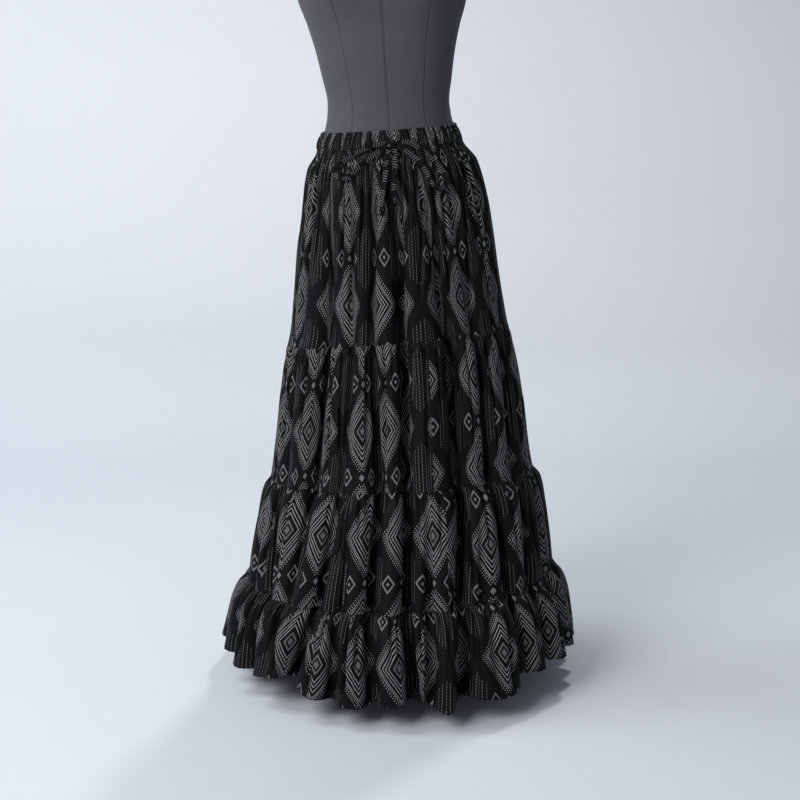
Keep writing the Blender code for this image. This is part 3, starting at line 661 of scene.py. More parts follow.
def fold_depth(tier, share, phi):
    """How far the cloth lies inside its envelope: 1 / (1 + t * t) ** FOLD_POWER for each fold, plus waves."""
    degrees = np.degrees(phi)
    inward = np.zeros_like(phi)
    for fold in all_folds():
        off = wrapped(degrees - at_share(fold.angle, tier, share)) / at_share(fold.width, tier, share)
        inward += 0.001 * at_share(fold.depth, tier, share) / (1 + off * off) ** FOLD_POWER
    if TIERS[tier].waves:
        grown = fade(share / WAVE_AT) * np.exp(-np.maximum(share - WAVE_AT, 0) / WAVE_FADE)
        inward += WAVE_DEPTH * grown * (0.5 - 0.5 * np.cos(TIERS[tier].waves * phi))
    return inward


def ring(tier, share):
    """A closed ring of cloth: its angles, points and outward directions, with DENSE steps between two folds.

    It is an ellipse with a slope and a lift, moved inwards by the folds, and at the top it follows the form.
    """
    troughs = [at_share(fold.angle, tier, share) for fold in all_folds()]
    troughs.append(troughs[0] + 360)
    steps = np.arange(len(all_folds()) * DENSE + 1) / DENSE
    phi = np.radians(np.interp(steps, np.arange(len(troughs)), troughs))
    sine, cosine = np.sin(phi), np.cos(phi)
    levels = TIERS[tier].levels
    height = levels[0].height + share * (levels[-1].height - levels[0].height)
    level = Level(height, *(column(levels, name, height) for name in Level._fields[1:]))
    depth = np.where(cosine > 0, level.front, level.back)
    z = level.height + level.slope * level.half_width * sine
    z = z + level.lift * np.maximum(cosine, 0) ** 2
    x, y = level.centre + level.half_width * sine, -depth * cosine
    if tier == len(TIERS) - 1:
        turn = wrapped(np.degrees(phi))
        z = z + share**2 * smooth(turn, [point.angle for point in HEM], [point.rise for point in HEM])
    if tier == 0:
        worn = fade(share / WORN)
        on_form = form_point(phi, z, BAND_THICKNESS + BAND_BULGE)
        x, y = (1 - worn) * on_form[0] + worn * x, (1 - worn) * on_form[1] + worn * y
    across = np.stack([sine / level.half_width, -cosine / depth])
    across /= np.linalg.norm(across, axis=0)
    inward = fold_depth(tier, share, phi)
    if tier == 0:
        body_x, body_y = form_point(phi, z)
        room = np.hypot(x - form_centre(z), y) - np.hypot(body_x - form_centre(z), body_y)
        inward = np.minimum(inward, np.maximum(room - FORM_CLEARANCE, 0))
    x, y = x - inward * across[0], y - inward * across[1]
    out = np.stack([np.gradient(y), -np.gradient(x)], axis=1)
    out /= np.linalg.norm(out, axis=1)[:, None]
    return phi, np.stack([x, y, z], axis=1), out


def length_along(points):
    """Distance along a ring, seen from above, at each of its points."""
    return np.concatenate([[0], np.cumsum(np.linalg.norm(np.diff(points[:, :2], axis=0), axis=1))])


def draped(tier):
    """A whole tier as grids: angles, points, outward directions, and places in the cloth, u and v in metres.

    A column of the grid keeps its share of the cloth between two folds all the way down, so it follows them.
    The rows stand closer together near the two edges.
    """
    cut = TIERS[tier]
    t = np.linspace(0, 1, cut.rows)
    shares = 0.55 * t + 0.45 * (0.5 - 0.5 * np.cos(np.pi * t))
    middle = length_along(ring(tier, 0.5)[1])[::DENSE]
    counts = np.maximum(6, np.round(cut.columns * np.diff(middle) / middle[-1])).astype(int)
    found = []
    for share in shares:
        phi, points, out = ring(tier, share)
        along = length_along(points)
        ends = along[::DENSE]
        at = np.concatenate([np.linspace(a, b, n, endpoint=False) for a, b, n in zip(ends, ends[1:], counts)])
        found.append([np.interp(at, along, line) for line in (np.degrees(phi), *points.T, *out.T)])
    found = np.array(found)
    u = np.concatenate([np.linspace(a, b, n, endpoint=False) for a, b, n in zip(middle, middle[1:], counts)])
    u = cut.wide * u / middle[-1]
    angle, points, out = found[:, 0], np.moveaxis(found[:, 1:4], 1, 2), np.moveaxis(found[:, 4:6], 1, 2)
    out = out / np.linalg.norm(out, axis=2)[..., None]
    steps = np.linalg.norm(np.diff(points, axis=0), axis=2)
    v = np.concatenate([np.zeros((1, len(u))), np.cumsum(steps, axis=0)])
    return angle, points, out, u, v, shares[:, None]


def bells(u, v, wide, places, lengths, depths, widths, leans, starts):
    """Soft ridges at places in the cloth: depth * exp(-t * t) across, each faded in and out lengthwise."""
    total = np.zeros_like(v)
    for place, length, depth, width, lean, begin in zip(places, lengths, depths, widths, leans, starts):
        off = (u[None, :] - place - lean * (v - begin) + wide / 2) % wide - wide / 2
        grown = fade((v - begin) / (0.22 * length) + 0.25) * fade((begin + length - v) / (0.75 * length))
        total += depth * np.exp(-((off / width) ** 2)) * grown
    return total


def fine_relief(tier, u, v):
    """The small gathers under a tier's seam, the puckers over the next one and long wrinkles, all uneven.

    Gathers and wrinkles are bells, and few gathers reach far down. Puckers are a sine wave of uneven pitch.
    """
    cut = TIERS[tier]
    rng = np.random.default_rng(41 + tier)
    pitch = cut.wide / cut.small
    k = np.arange(cut.small)
    far = rng.uniform(0, 1, cut.small) ** 2.2
    gathers = bells(
        u, v, cut.wide,
        (k + rng.uniform(-0.38, 0.38, cut.small)) * pitch,
        cut.reach * (0.35 + 1.9 * far),
        -cut.deep * rng.uniform(0.45, 1.2, cut.small),
        pitch * rng.uniform(0.16, 0.27, cut.small),
        rng.uniform(-0.10, 0.10, cut.small),
        np.zeros(cut.small),
    )
    long = v[-1].mean()
    n = cut.wrinkles
    wrinkles = bells(
        u, v, cut.wide,
        rng.uniform(0, cut.wide, n),
        rng.uniform(0.30, 0.95, n) * long,
        WRINKLE_DEPTH * rng.uniform(0.4, 1.0, n) * rng.choice([-1, -1, 1], n),
        rng.uniform(*WRINKLE_WIDTHS, n),
        rng.uniform(-0.12, 0.12, n),
        rng.uniform(-0.05, 0.60, n) * long,
    )
    left = v[-1][None, :] - v
    drift = PUCKER_DRIFT * np.sin(2 * np.pi * u / PUCKER_DRIFT_PITCH)
    puckers = np.sin(2 * np.pi * u / PUCKER_PITCH + drift) * np.exp(-left / PUCKER_REACH)
    return gathers + wrinkles + PUCKER_DEPTH * puckers


def creases(tier, share, angle):
    """How much further in the cloth lies at its creases: a narrow bell, exp(-t * t), for each.

    The bottoms of the main folds come first, then the placed creases, which are also turned over to the back.
    """
    inward = np.zeros_like(angle)
    for fold in all_folds():
        off = wrapped(angle - at_share(fold.angle, tier, share)) / CREASE_HALF_WIDTH
        inward += 0.001 * TIERS[tier].drawn * np.abs(at_share(fold.depth, tier, share)) * np.exp(-off * off)
    for crease in TIERS[tier].creases:
        place = crease.top + share * (crease.bottom - crease.top)
        run = fade((share - crease.start) / 0.07 + 0.15) * fade((crease.end - share) / 0.30 + 0.02)
        for centre in (place, CREASE_TURN - place):
            off = wrapped(angle - centre) / crease.width
            inward += 0.001 * crease.depth * run * np.exp(-off * off)
    return inward * fade(share / 0.06) * fade((1 - share) / 0.07)


def hollow_kept(points, angle):
    """The first tier's cloth kept off the torso under it: moved straight out to OFF_TORSO at least."""
    x, y, z = np.moveaxis(points, 2, 0)
    body_x, body_y = form_point(np.radians(angle), z)
    centre = form_centre(z)
    reach = np.hypot(x - centre, y)
    least = np.hypot(body_x - centre, body_y) + OFF_TORSO
    grow = np.maximum(least / reach, 1)
    return np.stack([centre + (x - centre) * grow, y * grow, z], axis=2)


# The print's repeat, and the half width and half height of its large diamond and its two small ones
PRINT_WIDE = 0.118
PRINT_HIGH = 0.168
DIAMOND = (0.0424, 0.0735)
SEED = (0.0042, 0.0068)
SMALL_DIAMOND = (0.0110, 0.0172)
SMALL_DIAMOND_SIDE = 0.0262
# The large diamond's outlines, as shares of its half sizes: from, to, step and half thickness
HEART = 0.108
INNER_OUTLINE = (0.190, 0.262)
OUTLINES = (0.40, 0.74)
OUTLINE_FIRST = 0.072
OUTLINE_STEP = 0.1225
OUTLINE_HALF = 0.0150
FINE_OUTLINES = (0.825, 0.888)
FINE_HALF = 0.0085
DOT_ROWS = (0.93, 1.09)
DOT_ROW_FIRST = 0.965
DOT_ROW_STEP = 0.092
DOT_HALF = 0.0160
DOT_PACE = 54.0
DOTS_END = 0.0105
# The upright rows of dashes between the diamonds
BAR_STEP = 0.0064
BAR_HALF = 0.00045
BAR_SIDE = 0.0215
BAR_REACH = 0.056
BAR_PACE = 1150.0
BAR_SHIFT = 2.1
GROUND = (0.0050, 0.0050, 0.0066, 1)
INK = (0.430, 0.433, 0.456, 1)
WARM_INK = (0.430, 0.430, 0.280, 1)


def centred(value, period):
    """How far a value is from the nearest multiple of the period, with its sign."""
    return value - (value / period).nearest() * period


def between(value, low, high):
    """1 where the value lies between the two, else 0."""
    return (value > low) * (value < high)


def printed(u, v):
    """How much ink there is at a place of the cloth: a repeat of nested diamonds, small ones, bars and dots.

    A diamond is where |x| / half width + |y| / half height is under 1. Its outlines are bands of that sum.
    """
    x, y = abs(centred(u, PRINT_WIDE)), abs(centred(v, PRINT_HIGH))
    side, end = PRINT_WIDE / 2 - x, PRINT_HIGH / 2 - y
    wide, high = x / DIAMOND[0], y / DIAMOND[1]
    nest = wide + high
    heart = (nest < HEART) | between(nest, *INNER_OUTLINE)
    outlines = (abs(centred(nest - OUTLINE_FIRST, OUTLINE_STEP)) < OUTLINE_HALF) * between(nest, *OUTLINES)
    fine = (abs(nest - FINE_OUTLINES[0]) < FINE_HALF) | (abs(nest - FINE_OUTLINES[1]) < FINE_HALF)
    dots = ((wide - high) * DOT_PACE).sine() > 0.50
    dots = dots * (abs(centred(nest - DOT_ROW_FIRST, DOT_ROW_STEP)) < DOT_HALF)
    dots = dots * between(nest, *DOT_ROWS) * (end > DOTS_END)
    seed = (x / SEED[0] + end / SEED[1]) < 1.0
    small = abs(x - SMALL_DIAMOND_SIDE) / SMALL_DIAMOND[0] + end / SMALL_DIAMOND[1]
    small = between(small, 0.74, 1.0) | (small < 0.22)
    bar = (side / BAR_STEP).nearest()
    breaks = (end * BAR_PACE + bar * BAR_SHIFT).sine() > -0.45
    bars = (abs(side - bar * BAR_STEP) < BAR_HALF) * (side < BAR_SIDE) * breaks
    bars = bars * ((side * 0.9 + end) < BAR_REACH)
    lines = (outlines * 0.75) | (fine * 0.90) | (dots * 0.95) | (bars * 0.33)
    return lines | (seed * 0.38) | (small * 0.40) | (heart * 0.26)


THREAD = 0.0007
THREAD_DEPTH = 0.00006


def woven(u, v):
    """The relief of a plain weave: a wave for the threads of each direction, added up."""
    return bump((ripple(u, THREAD) + ripple(v, THREAD)) * 0.25 + 0.5, THREAD_DEPTH)


STITCH_HALF = 0.0006
SEAM_HALF = 0.0008
STITCH_DEPTH = 0.0005
CRUSH_DEPTH = 0.0036
print_cloth, shader, start = new_finish("Printed viscose", {"Specular IOR Level": 0.05})
where = start.node("ShaderNodeUVMap", {"uv_map": "Print"}, output="UV")
u_wire = where.node("ShaderNodeSeparateXYZ", None, {"Vector": where}, "X")
v_wire = u_wire.beside("Y")
edges = start.node("ShaderNodeUVMap", {"uv_map": "Edges"}, output="UV")
seam_off = edges.node("ShaderNodeSeparateXYZ", None, {"Vector": edges}, "X")
above_hem = seam_off.beside("Y")
worn = (noise(where, 900.0) * 0.9 + 0.35).at_most(1.0)
ink = printed(u_wire, v_wire) * worn
tint = ((noise(where, 31.0) - 0.56) * 4.0).at_least(0.0).at_most(1.0)
mixed(ink, GROUND, mixed(tint, INK, WARM_INK)).into(shader, "Base Color")
(0.56 - ink * 0.10).into(shader, "Roughness")
streaks = u_wire.node("ShaderNodeCombineXYZ", None, {"X": u_wire * 120.0, "Y": v_wire * 9.0})
crush = noise(streaks, 1.0, 3.0)
stitch = (abs(above_hem - HEM_HEIGHT) < STITCH_HALF) + (seam_off < SEAM_HALF)
relief = bump(crush, CRUSH_DEPTH, woven(u_wire, v_wire))
bump(1.0 - stitch, STITCH_DEPTH, relief).into(shader, "Normal")

strips = {}
for number, cut in enumerate(TIERS):
    angle, points, out, u, v, shares = draped(number)
    relief_out = fine_relief(number, u, v) - creases(number, shares, angle)
    points[..., :2] += relief_out[..., None] * out
    middle = len(points) // 2
    round_arc = length_along(np.concatenate([points[middle], points[middle, :1]]))
    u = cut.wide * round_arc[:-1] / round_arc[-1]
    # The print also runs through the cloth that the valleys hide, so each valley takes in a share of that
    valley = fold_depth(number, shares[middle], np.radians(angle[middle])) - relief_out[middle]
    taken = np.cumsum(np.clip(valley / VALLEY, 0, 1) ** 3 * np.diff(round_arc))
    print_u = u + cut.hidden * (taken - taken[0]) / taken[-1]
    if number == 0:
        points = hollow_kept(points, angle)
    tucked = points[:1].copy()
    tucked[..., :2] -= CLOTH_THICKNESS * out[:1]
    tucked[..., 2] += TUCK
    grid = np.concatenate([tucked, points])
    down = np.concatenate([np.full((1, len(u)), -TUCK), v])
    last_tier = number == len(TIERS) - 1
    above = v[-1] - down + (0.0 if last_tier else NO_HEM)
    middle_row = angle[len(angle) // 2]
    joins = sorted(int(np.argmin(np.abs(wrapped(middle_row - seam)))) for seam in cut.seams)
    for strip, (first, last) in enumerate(zip(joins, joins[1:] + [joins[0] + len(u)])):
        index = np.arange(first, last + 1)
        picked = index % len(u)
        along = u[picked] + cut.wide * (index // len(u))
        across = print_u[picked] + (cut.wide + cut.hidden) * (index // len(u))
        shift_u, shift_v = cut.prints[strip]
        side = np.minimum(along - along[0], along[-1] - along) + 0 * down[:, picked]
        maps = {
            "Print": np.stack([across + shift_u + 0 * down[:, picked], down[:, picked] + shift_v], axis=2),
            "Edges": np.stack([side, above[:, picked]], axis=2),
        }
        name = f"tier_{number + 1}_strip_{strip + 1}"
        made = surface("cloth_" + name, grid[:, picked], print_cloth, maps=maps)
        wall = made.modifiers.new("Cloth thickness", "SOLIDIFY")
        wall.thickness = CLOTH_THICKNESS
        wall.offset = -1.0
        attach(made, "root")
        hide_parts(name)
        strips[name] = (made, along[-1] - along[0])

# Waistband: a casing of the same cloth, folded over wide elastic that pulls it into upright ruches.
# It sits on the form's waist, and the first tier is gathered into its lower edge.
BAND_HEIGHT = 0.031
BAND_INSIDE = 0.0007
BAND_GAP = 0.00015
BAND_COLUMNS = 900
BAND_RUCHES = 44
FINE_RUCHES = 94
FINE_SHARE = 0.78
RUCHE_DEPTH = 0.0032
BAND_CUT = 1.10  # the casing's length before the elastic pulls it in
BAND_HIDDEN = 2.6  # metres of the print's length that the valleys between the ruches take in
BAND_STITCH = 0.20  # the share of its height down to the upper row of stitches


def ruched(degrees, share):
    """How far the casing's outside stands out at an angle and a share of its height, 0 at the top.

    Two uneven waves, 0.5 + 0.5 * cos, whose phase drifts round and down the band, the finer one the stronger.
    Their sum is pinched at the two edges and at the upper row of stitches.
    """
    phi = np.radians(degrees)
    drift = 1.3 * np.sin(5 * phi + 0.4) + 0.9 * np.sin(13 * phi + 2.0) + 0.5 * np.sin(3 * phi + 6 * share)
    coarse = 0.5 + 0.5 * np.cos(BAND_RUCHES * phi + 0.35 * drift)
    fine = 0.5 + 0.5 * np.cos(FINE_RUCHES * phi + 1.4 * drift + 0.8 * np.sin(7 * phi - 5 * share))
    pinched = 0.45 + 0.55 * np.sin(np.pi * np.clip(share, 0, 1)) ** 0.6
    pinched -= 0.45 * np.exp(-(((share - BAND_STITCH) / 0.05) ** 2))
    return RUCHE_DEPTH * ((1 - FINE_SHARE) * coarse + FINE_SHARE * fine) * pinched


def casing():
    """The band's closed section carried round the form: down the outside, under, up the inside and over."""
    degrees = np.linspace(-180, 180, BAND_COLUMNS, endpoint=False)
    phi = np.radians(degrees)
    base = TIER_1[0]
    low = base.height + base.slope * base.half_width * np.sin(phi) + BAND_GAP
    outside = [(share, 1.0) for share in np.linspace(0.03, 0.97, 22)]
    inside = [(share, 0.0) for share in np.linspace(0.97, 0.03, 8)]
    over, under = [(0.0, 0.25), (0.0, 0.62)], [(1.0, 0.62), (1.0, 0.25)]
    rows = []
    for share, outer in [over[1], *outside, *under, *inside, *over]:
        z = low + BAND_HEIGHT * (1 - share)
        full = BAND_THICKNESS + BAND_BULGE * math.sin(math.pi * share) + ruched(degrees, share)
        away = BAND_INSIDE + outer * (full - BAND_INSIDE)
        rows.append(np.stack([*form_point(phi, z, away), z], axis=1))
    return np.array(rows)


points = casing()
down = np.concatenate([[0], np.cumsum(np.linalg.norm(np.diff(points[:, 0], axis=0), axis=1))])
round_u = np.linspace(0, BAND_CUT, BAND_COLUMNS + 1)
# The print also runs through the cloth that the ruches hide, unevenly
valley = (1 - ruched(np.linspace(-180, 180, BAND_COLUMNS + 1), 0.6) / RUCHE_DEPTH) ** 6
valley *= 1.0 + 0.6 * np.sin(round_u / 0.031) * np.sin(round_u / 0.0173)
taken = np.cumsum(valley)
print_u = round_u + BAND_HIDDEN * taken / taken[-1]
band_maps = {
    "Print": np.stack(np.meshgrid(print_u, down + 0.024), axis=2),
    "Edges": np.stack(np.meshgrid(0 * round_u + 1, 0 * down + NO_HEM), axis=2),
}
band = surface("cloth_waistband", points, print_cloth, around=True, maps=band_maps)
weld = band.modifiers.new("Closed section", "WELD")
weld.merge_threshold = 0.00001
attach(band, "root")
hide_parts("waistband")

for number, cut in enumerate(TIERS):
    names = [f"tier_{number + 1}_strip_{strip + 1}" for strip in range(len(cut.seams))]
    for name in names:
        made, wide = strips[name]

# Drawstring: a flat tie sewn from the same cloth, which comes out of the casing and is tied in a bow.
# Its two loops lie on the skirt, and its two ends hang: the long one twists, the short one ends in a knot.
TIE_WIDTH = 0.0100
TIE_THICKNESS = 0.0024
BEHIND = 0.0022
BEFORE = 0.0062
BAND_BOTTOM = 1.0065
KNOT_CENTRE = (-0.0144, 1.0135)
KNOT_SIZE = (0.0180, 0.0115, 0.0160)
TIE_GAP = 0.0003
KNOT_LEFT = KNOT_CENTRE[0] - KNOT_SIZE[0] / 2 - TIE_GAP
KNOT_RIGHT = KNOT_CENTRE[0] + KNOT_SIZE[0] / 2 + TIE_GAP
KNOT_UNDER = KNOT_CENTRE[1] - KNOT_SIZE[2] / 2 - TIE_GAP
RoutePoint = namedtuple("RoutePoint", "x height off")
LEFT_LOOP = table(
    RoutePoint,
    (KNOT_LEFT, 1.0150, BEHIND),
    (-0.0368, 1.0130, BEHIND),
    (-0.0561, 1.0075, BEHIND),
    (-0.0737, 1.0000, BEHIND),
    (-0.0912, 0.9890, BEHIND),
    (-0.1075, 0.9772, 0.0030),
    (-0.1158, 0.9658, 0.0042),
    (-0.1110, 0.9551, 0.0055),
    (-0.0982, 0.9535, BEFORE),
    (-0.0850, 0.9625, BEFORE),
    (-0.0719, 0.9745, BEFORE),
    (-0.0561, 0.9870, BEFORE),
    (-0.0404, 0.9990, BEFORE),
    (KNOT_LEFT, 1.0110, BEFORE),
)
RIGHT_LOOP = table(
    RoutePoint,
    (KNOT_RIGHT, 1.0160, BEHIND),
    (0.0070, 1.0175, BEHIND),
    (0.0193, 1.0156, BEHIND),
    (0.0351, 1.0055, BEHIND),
    (0.0491, 0.9943, BEHIND),
    (0.0632, 0.9818, BEHIND),
    (0.0754, 0.9676, 0.0026),
    (0.0825, 0.9534, 0.0036),
    (0.0789, 0.9410, 0.0048),
    (0.0667, 0.9375, 0.0058),
    (0.0561, 0.9470, BEFORE),
    (0.0491, 0.9620, BEFORE),
    (0.0395, 0.9765, BEFORE),
    (0.0263, 0.9907, BEFORE),
    (0.0100, 1.0020, BEFORE),
    (KNOT_RIGHT, 1.0105, BEFORE),
)
LONG_TAIL = table(
    RoutePoint,
    (-0.0100, KNOT_UNDER, 0.0040),
    (-0.0088, 0.9854, 0.0034),
    (-0.0096, 0.9640, 0.0028),
    (-0.0105, 0.9409, 0.0026),
    (-0.0088, 0.9178, 0.0026),
    (-0.0070, 0.8964, 0.0030),
    (-0.0079, 0.8751, 0.0028),
    (-0.0053, 0.8519, 0.0026),
    (0.0018, 0.8288, 0.0030),
)
SHORT_TAIL = table(
    RoutePoint,
    (-0.0193, KNOT_UNDER, 0.0072),
    (-0.0235, 0.9835, 0.0050),
    (-0.0263, 0.9587, 0.0028),
    (-0.0281, 0.9356, 0.0026),
    (-0.0316, 0.9142, 0.0030),
    (-0.0333, 0.8911, 0.0034),
)
DASH_PITCH = 0.0044
DASH_HALF = 0.0032
TIE_STEP = 0.0015
TIE_SIDES = 20


def front_of_cloth(x, z):
    """y of the outermost cloth in front, at x and a height: the casing or the first tier's ellipse."""
    height = np.minimum(z, TIER_1[0].height)
    half, front, centre = (column(TIER_1, name, height) for name in ("half_width", "front", "centre"))
    sine = np.clip((x - centre) / half, -0.99, 0.99)
    skirt = -front * np.sqrt(1 - sine * sine)
    full = BAND_THICKNESS + BAND_BULGE + RUCHE_DEPTH
    share = np.clip((x - form_centre(z)) / (column(FORM, "half_width", z) + full), -0.99, 0.99)
    reach = (1 - np.abs(share) ** FORM_SQUARENESS) ** (1 / FORM_SQUARENESS)
    band = -(column(FORM, "front", z) + full) * reach
    over = fade((z - (BAND_BOTTOM - 0.02)) / 0.014)
    return np.minimum(skirt, (1 - over) * skirt + over * band)


def route_line(route):
    """The tie's centreline: a smooth curve through the route's points, evenly spaced."""
    points = np.array([(p.x, front_of_cloth(p.x, p.height) - p.off, p.height) for p in route])
    padded = np.concatenate([[2 * points[0] - points[1]], points, [2 * points[-1] - points[-2]]])
    t = np.linspace(0, 1, 24, endpoint=False)[:, None]
    pieces = []
    for a, b, c, d in zip(padded, padded[1:], padded[2:], padded[3:]):
        square, cube = 2 * a - 5 * b + 4 * c - d, 3 * b - a - 3 * c + d
        pieces.append(0.5 * (2 * b + (c - a) * t + square * t**2 + cube * t**3))
    fine = np.concatenate([*pieces, points[-1:]])
    along = np.concatenate([[0], np.cumsum(np.linalg.norm(np.diff(fine, axis=0), axis=1))])
    at = np.linspace(0, along[-1], round(along[-1] / TIE_STEP) + 1)
    return np.stack([np.interp(at, along, fine[:, k]) for k in range(3)], axis=1), at


def flat_tie(line, at, leaves, returns, width, twist, curl):
    """A flat tie along a line: its section is a squared-off ellipse, turned by twist and curled.

    across is width / 2 * cos ** 0.7 and through is TIE_THICKNESS / 2 * sin ** 0.55. width and twist are
    numbers at each point of the line, and curl is how far the two edges bend to the front.
    """
    along = np.gradient(line, axis=0)
    along[0] = leaves
    if returns:
        along[-1] = returns
    along /= np.linalg.norm(along, axis=1)[:, None]
    face = np.tile([0.0, -1.0, 0.0], (len(line), 1))
    face -= (face * along).sum(1)[:, None] * along
    face /= np.linalg.norm(face, axis=1)[:, None]
    side = np.cross(along, face)
    turn = np.linspace(0, 2 * np.pi, TIE_SIDES, endpoint=False)
    across = width[:, None] / 2 * signed_power(np.cos(turn), 0.7)[None]
    through = TIE_THICKNESS / 2 * signed_power(np.sin(turn), 0.55)[None] * (1 + 0 * across)
    through = through + curl * (2 * across / TIE_WIDTH) ** 2
    cos, sin = np.cos(twist)[:, None], np.sin(twist)[:, None]
    across, through = cos * across - sin * through, sin * across + cos * through
    return line[:, None] + across[..., None] * side[:, None] + through[..., None] * face[:, None]


tie_cloth, shader, start = new_finish("Tie cloth", {"Specular IOR Level": 0.05})
where = start.node("ShaderNodeUVMap", {"uv_map": "Print"}, output="UV")
u_wire = where.node("ShaderNodeSeparateXYZ", None, {"Vector": where}, "X")
v_wire = u_wire.beside("Y")
slant = ripple(v_wire + u_wire * 0.45, DASH_PITCH)
patches = noise(where, 42.0, 1.0)
dashes = (slant > 0.62) * (abs(centred(u_wire - TIE_WIDTH / 2, TIE_WIDTH)) < DASH_HALF) * (patches > 0.50)
ink = dashes * (noise(where, 700.0) * 0.9 + 0.05)
mixed(ink, GROUND, (0.22, 0.22, 0.24, 1)).into(shader, "Base Color")
(0.64 - ink * 0.08).into(shader, "Roughness")
bump(noise(where, 260.0, 3.0), 0.0007, woven(u_wire, v_wire)).into(shader, "Normal")

left, right, under = (-1, 0, 0), (1, 0, 0), (0, 0, -1)
Tie = namedtuple("Tie", "name node route leaves returns turn taper far_end")
TIES = (
    Tie("bow_loop_left", "tie_loop_left", LEFT_LOOP, left, right, 0.30, 1.0, "object"),
    Tie("bow_loop_right", "tie_loop_right", RIGHT_LOOP, right, left, -0.25, 1.0, "object"),
    Tie("bow_tail_long", "tie_tail_long", LONG_TAIL, under, None, 1.25, 0.66, "bare"),
    Tie("bow_tail_short", "tie_tail_short", SHORT_TAIL, under, None, -0.7, 0.9, "knot"),
)
ties = {}
for piece in TIES:
    line, at = route_line(piece.route)
    share = at / at[-1]
    twist = piece.turn * (np.sin(2 * np.pi * share) if piece.returns else fade((share - 0.3) / 0.5))
    narrow = 1 - (1 - piece.taper) * fade((share - 0.35) / 0.3)
    width = TIE_WIDTH * narrow * (1 - 0.05 * np.sin(at / 0.011) ** 2)
    points = flat_tie(line, at, piece.leaves, piece.returns, width, twist, 0.0004)
    girth = np.linspace(0, 2 * TIE_WIDTH, TIE_SIDES + 1)
    maps = {"Print": np.stack(np.meshgrid(girth, at), axis=2)}
    made = surface(piece.name, points[::-1], tie_cloth, around=True, capped=True, maps=maps)
    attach(made, "root")
    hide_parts(piece.node)
    ties[piece.name] = (made, line, at[-1])


def lump(centre, size, squareness, folds, fold_depth, slant):
    """A knot's body: a superellipsoid, its slanting grooves depth * (0.5 - 0.5 * cos(folds * t)) deep."""
    down = np.linspace(0.02, np.pi - 0.02, 40)
    around = np.linspace(0, 2 * np.pi, 64, endpoint=False)
    polar, turn = np.meshgrid(down, around, indexing="ij")
    power = 2 / squareness
    wide = np.sin(polar) ** power
    unit = np.stack(
        [
            wide * signed_power(np.sin(turn), power),
            -wide * signed_power(np.cos(turn), power),
            signed_power(np.cos(polar), power),
        ],
        axis=2,
    )
    groove = 0.5 - 0.5 * np.cos(folds * (unit[..., 2] + slant * unit[..., 0]) * np.pi)
    return np.asarray(centre) + unit * np.asarray(size) / 2 * (1 - fold_depth * groove)[..., None]


knot_low, knot_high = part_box("tie_knot")
knot_middle = (np.array(knot_low) + np.array(knot_high)) / 2
knot_size = np.array(knot_high) - np.array(knot_low)
tail_end = ties["bow_tail_short"][1][-1]
Knot = namedtuple("Knot", "name centre size squareness folds depth slant")
KNOTS = table(
    Knot,
    ("bow_knot", knot_middle, knot_size, 2.6, 2.4, 0.16, 0.5),
    ("tail_knot", tail_end + (0.0006, -0.0004, 0.0055), (0.0100, 0.0072, 0.0105), 2.2, 1.7, 0.15, -0.6),
)
for knot in KNOTS:
    points = lump(*knot[1:])
    girth, length = np.linspace(0, 0.03, points.shape[1] + 1), np.linspace(0, 0.02, points.shape[0])
    maps = {"Print": np.stack(np.meshgrid(girth, length), axis=2)}
    made = surface(knot.name, points, tie_cloth, around=True, capped=True, maps=maps)
    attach(made, "root")
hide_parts("tie_knot")

for piece in TIES:
    made, line, long = ties[piece.name]

# Studio: a plain pale floor, painted darker than the wall as painted shade, that curves up into a paler wall
# behind, and even light from all round.
# A large soft lamp stands at the left front and a weak one at the right. A small one above the back draws
# the shadow on the floor, and a wide one lights the wall from the left.
SWEEP_FRONT = -9.0
SWEEP_BACK = 3.4
SWEEP_BEND = 2.6
SWEEP_TOP = 8.0
SWEEP_HALF = 9.0
PAINTED_SHADE_FADE_FROM = 1.5  # where the floor's painted shade starts to fade into the wall's paler colour, and over what distance
PAINTED_SHADE_FADE_RUN = 4.0


def sweep():
    """The backdrop's points: a flat floor, a quarter circle and an upright wall, carried across."""
    bend = np.linspace(0, np.pi / 2, 25)
    arc = [(SWEEP_BACK + SWEEP_BEND * math.sin(a), SWEEP_BEND * (1 - math.cos(a))) for a in bend]
    profile = np.array([(SWEEP_FRONT, 0.0), *arc, (SWEEP_BACK + SWEEP_BEND, SWEEP_TOP)])
    x = np.linspace(-SWEEP_HALF, SWEEP_HALF, 9)
    side = np.broadcast_to(x, (len(profile), len(x)))
    return np.stack([side, profile[:, :1] + 0 * side, profile[:, 1:] + 0 * side], axis=2)[::-1]


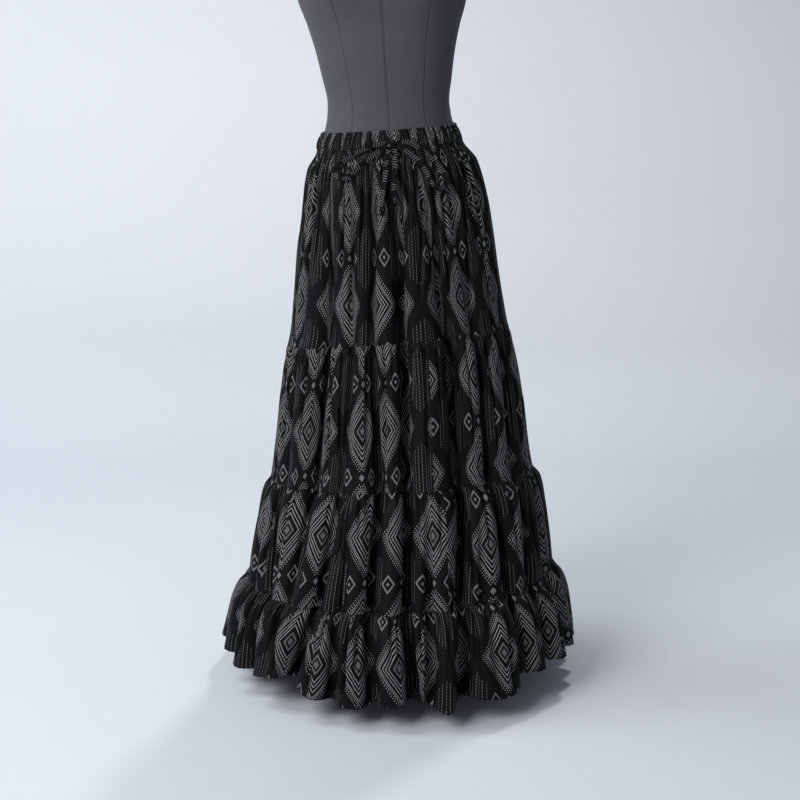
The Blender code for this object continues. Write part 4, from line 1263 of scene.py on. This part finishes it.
paper, shader, start = new_finish("Pale backdrop", {"Specular IOR Level": 0.2})
place = start.node("ShaderNodeTexCoord", output="Object")
back = place.node("ShaderNodeSeparateXYZ", None, {"Vector": place}, "Y")
# Painted shade: the backdrop's colour is darkest on the floor and turns to the wall's paler colour towards the
# back, with a little random mottle.
wall = ((back - PAINTED_SHADE_FADE_FROM) / PAINTED_SHADE_FADE_RUN).at_least(0.0).at_most(1.0)
painted_shade_and_mottle = wall * 0.9 + noise(place, 1.2, 3.0) * 0.1
mixed(painted_shade_and_mottle, (0.490, 0.522, 0.575, 1), (0.86, 0.88, 0.93, 1)).into(shader, "Base Color")
(0.85 + painted_shade_and_mottle * 0.1).into(shader, "Roughness")
backdrop = surface("studio_backdrop", sweep(), paper)

world = bpy.data.worlds.new("Studio")
bpy.context.scene.world = world
world.use_nodes = True
world.node_tree.nodes["Background"].inputs["Color"].default_value = (0.90, 0.94, 1.0, 1)
world.node_tree.nodes["Background"].inputs["Strength"].default_value = 0.27
Lamp = namedtuple("Lamp", "name place target size power colour")
LAMPS = (
    Lamp("key", (-1.4, -1.75, 2.0), (0.0, 0.0, 1.25), 1.4, 68, (1.0, 0.985, 0.96)),
    Lamp("fill", (2.2, -3.2, 0.5), (0.0, 0.0, 0.6), 2.0, 9, (0.94, 0.96, 1.0)),
    Lamp("back", (0.8, 1.7, 3.8), (0.0, 0.0, 0.0), 0.3, 55, (1.0, 0.97, 0.93)),
    Lamp("wall", (-3.0, 0.6, 4.6), (-2.2, 4.4, 0.6), 3.0, 215, (0.96, 0.98, 1.0)),
)
for lamp in LAMPS:
    data = bpy.data.lights.new(lamp.name, "AREA")
    data.size = lamp.size
    data.energy = lamp.power
    data.color = lamp.colour
    made = bpy.data.objects.new(lamp.name, data)
    made.location = lamp.place
    aim = Vector([b - a for a, b in zip(lamp.place, lamp.target)])
    made.rotation_euler = aim.to_track_quat("-Z", "Y").to_euler()
    bpy.context.scene.collection.objects.link(made)

# Camera: at the photograph's viewing angle, a little above the waist and pitched down towards the hem.
camera_data = bpy.data.cameras.new("Camera")
camera_data.lens = 72.0
camera_data.sensor_width = 36.0
camera = bpy.data.objects.new("Camera", camera_data)
camera.location = (0.0, -2.94, 1.198)
camera.rotation_euler = (math.radians(77.2), 0.0, 0.0)
bpy.context.scene.collection.objects.link(camera)
bpy.context.scene.camera = camera
bpy.context.scene.view_settings.view_transform = "Standard"
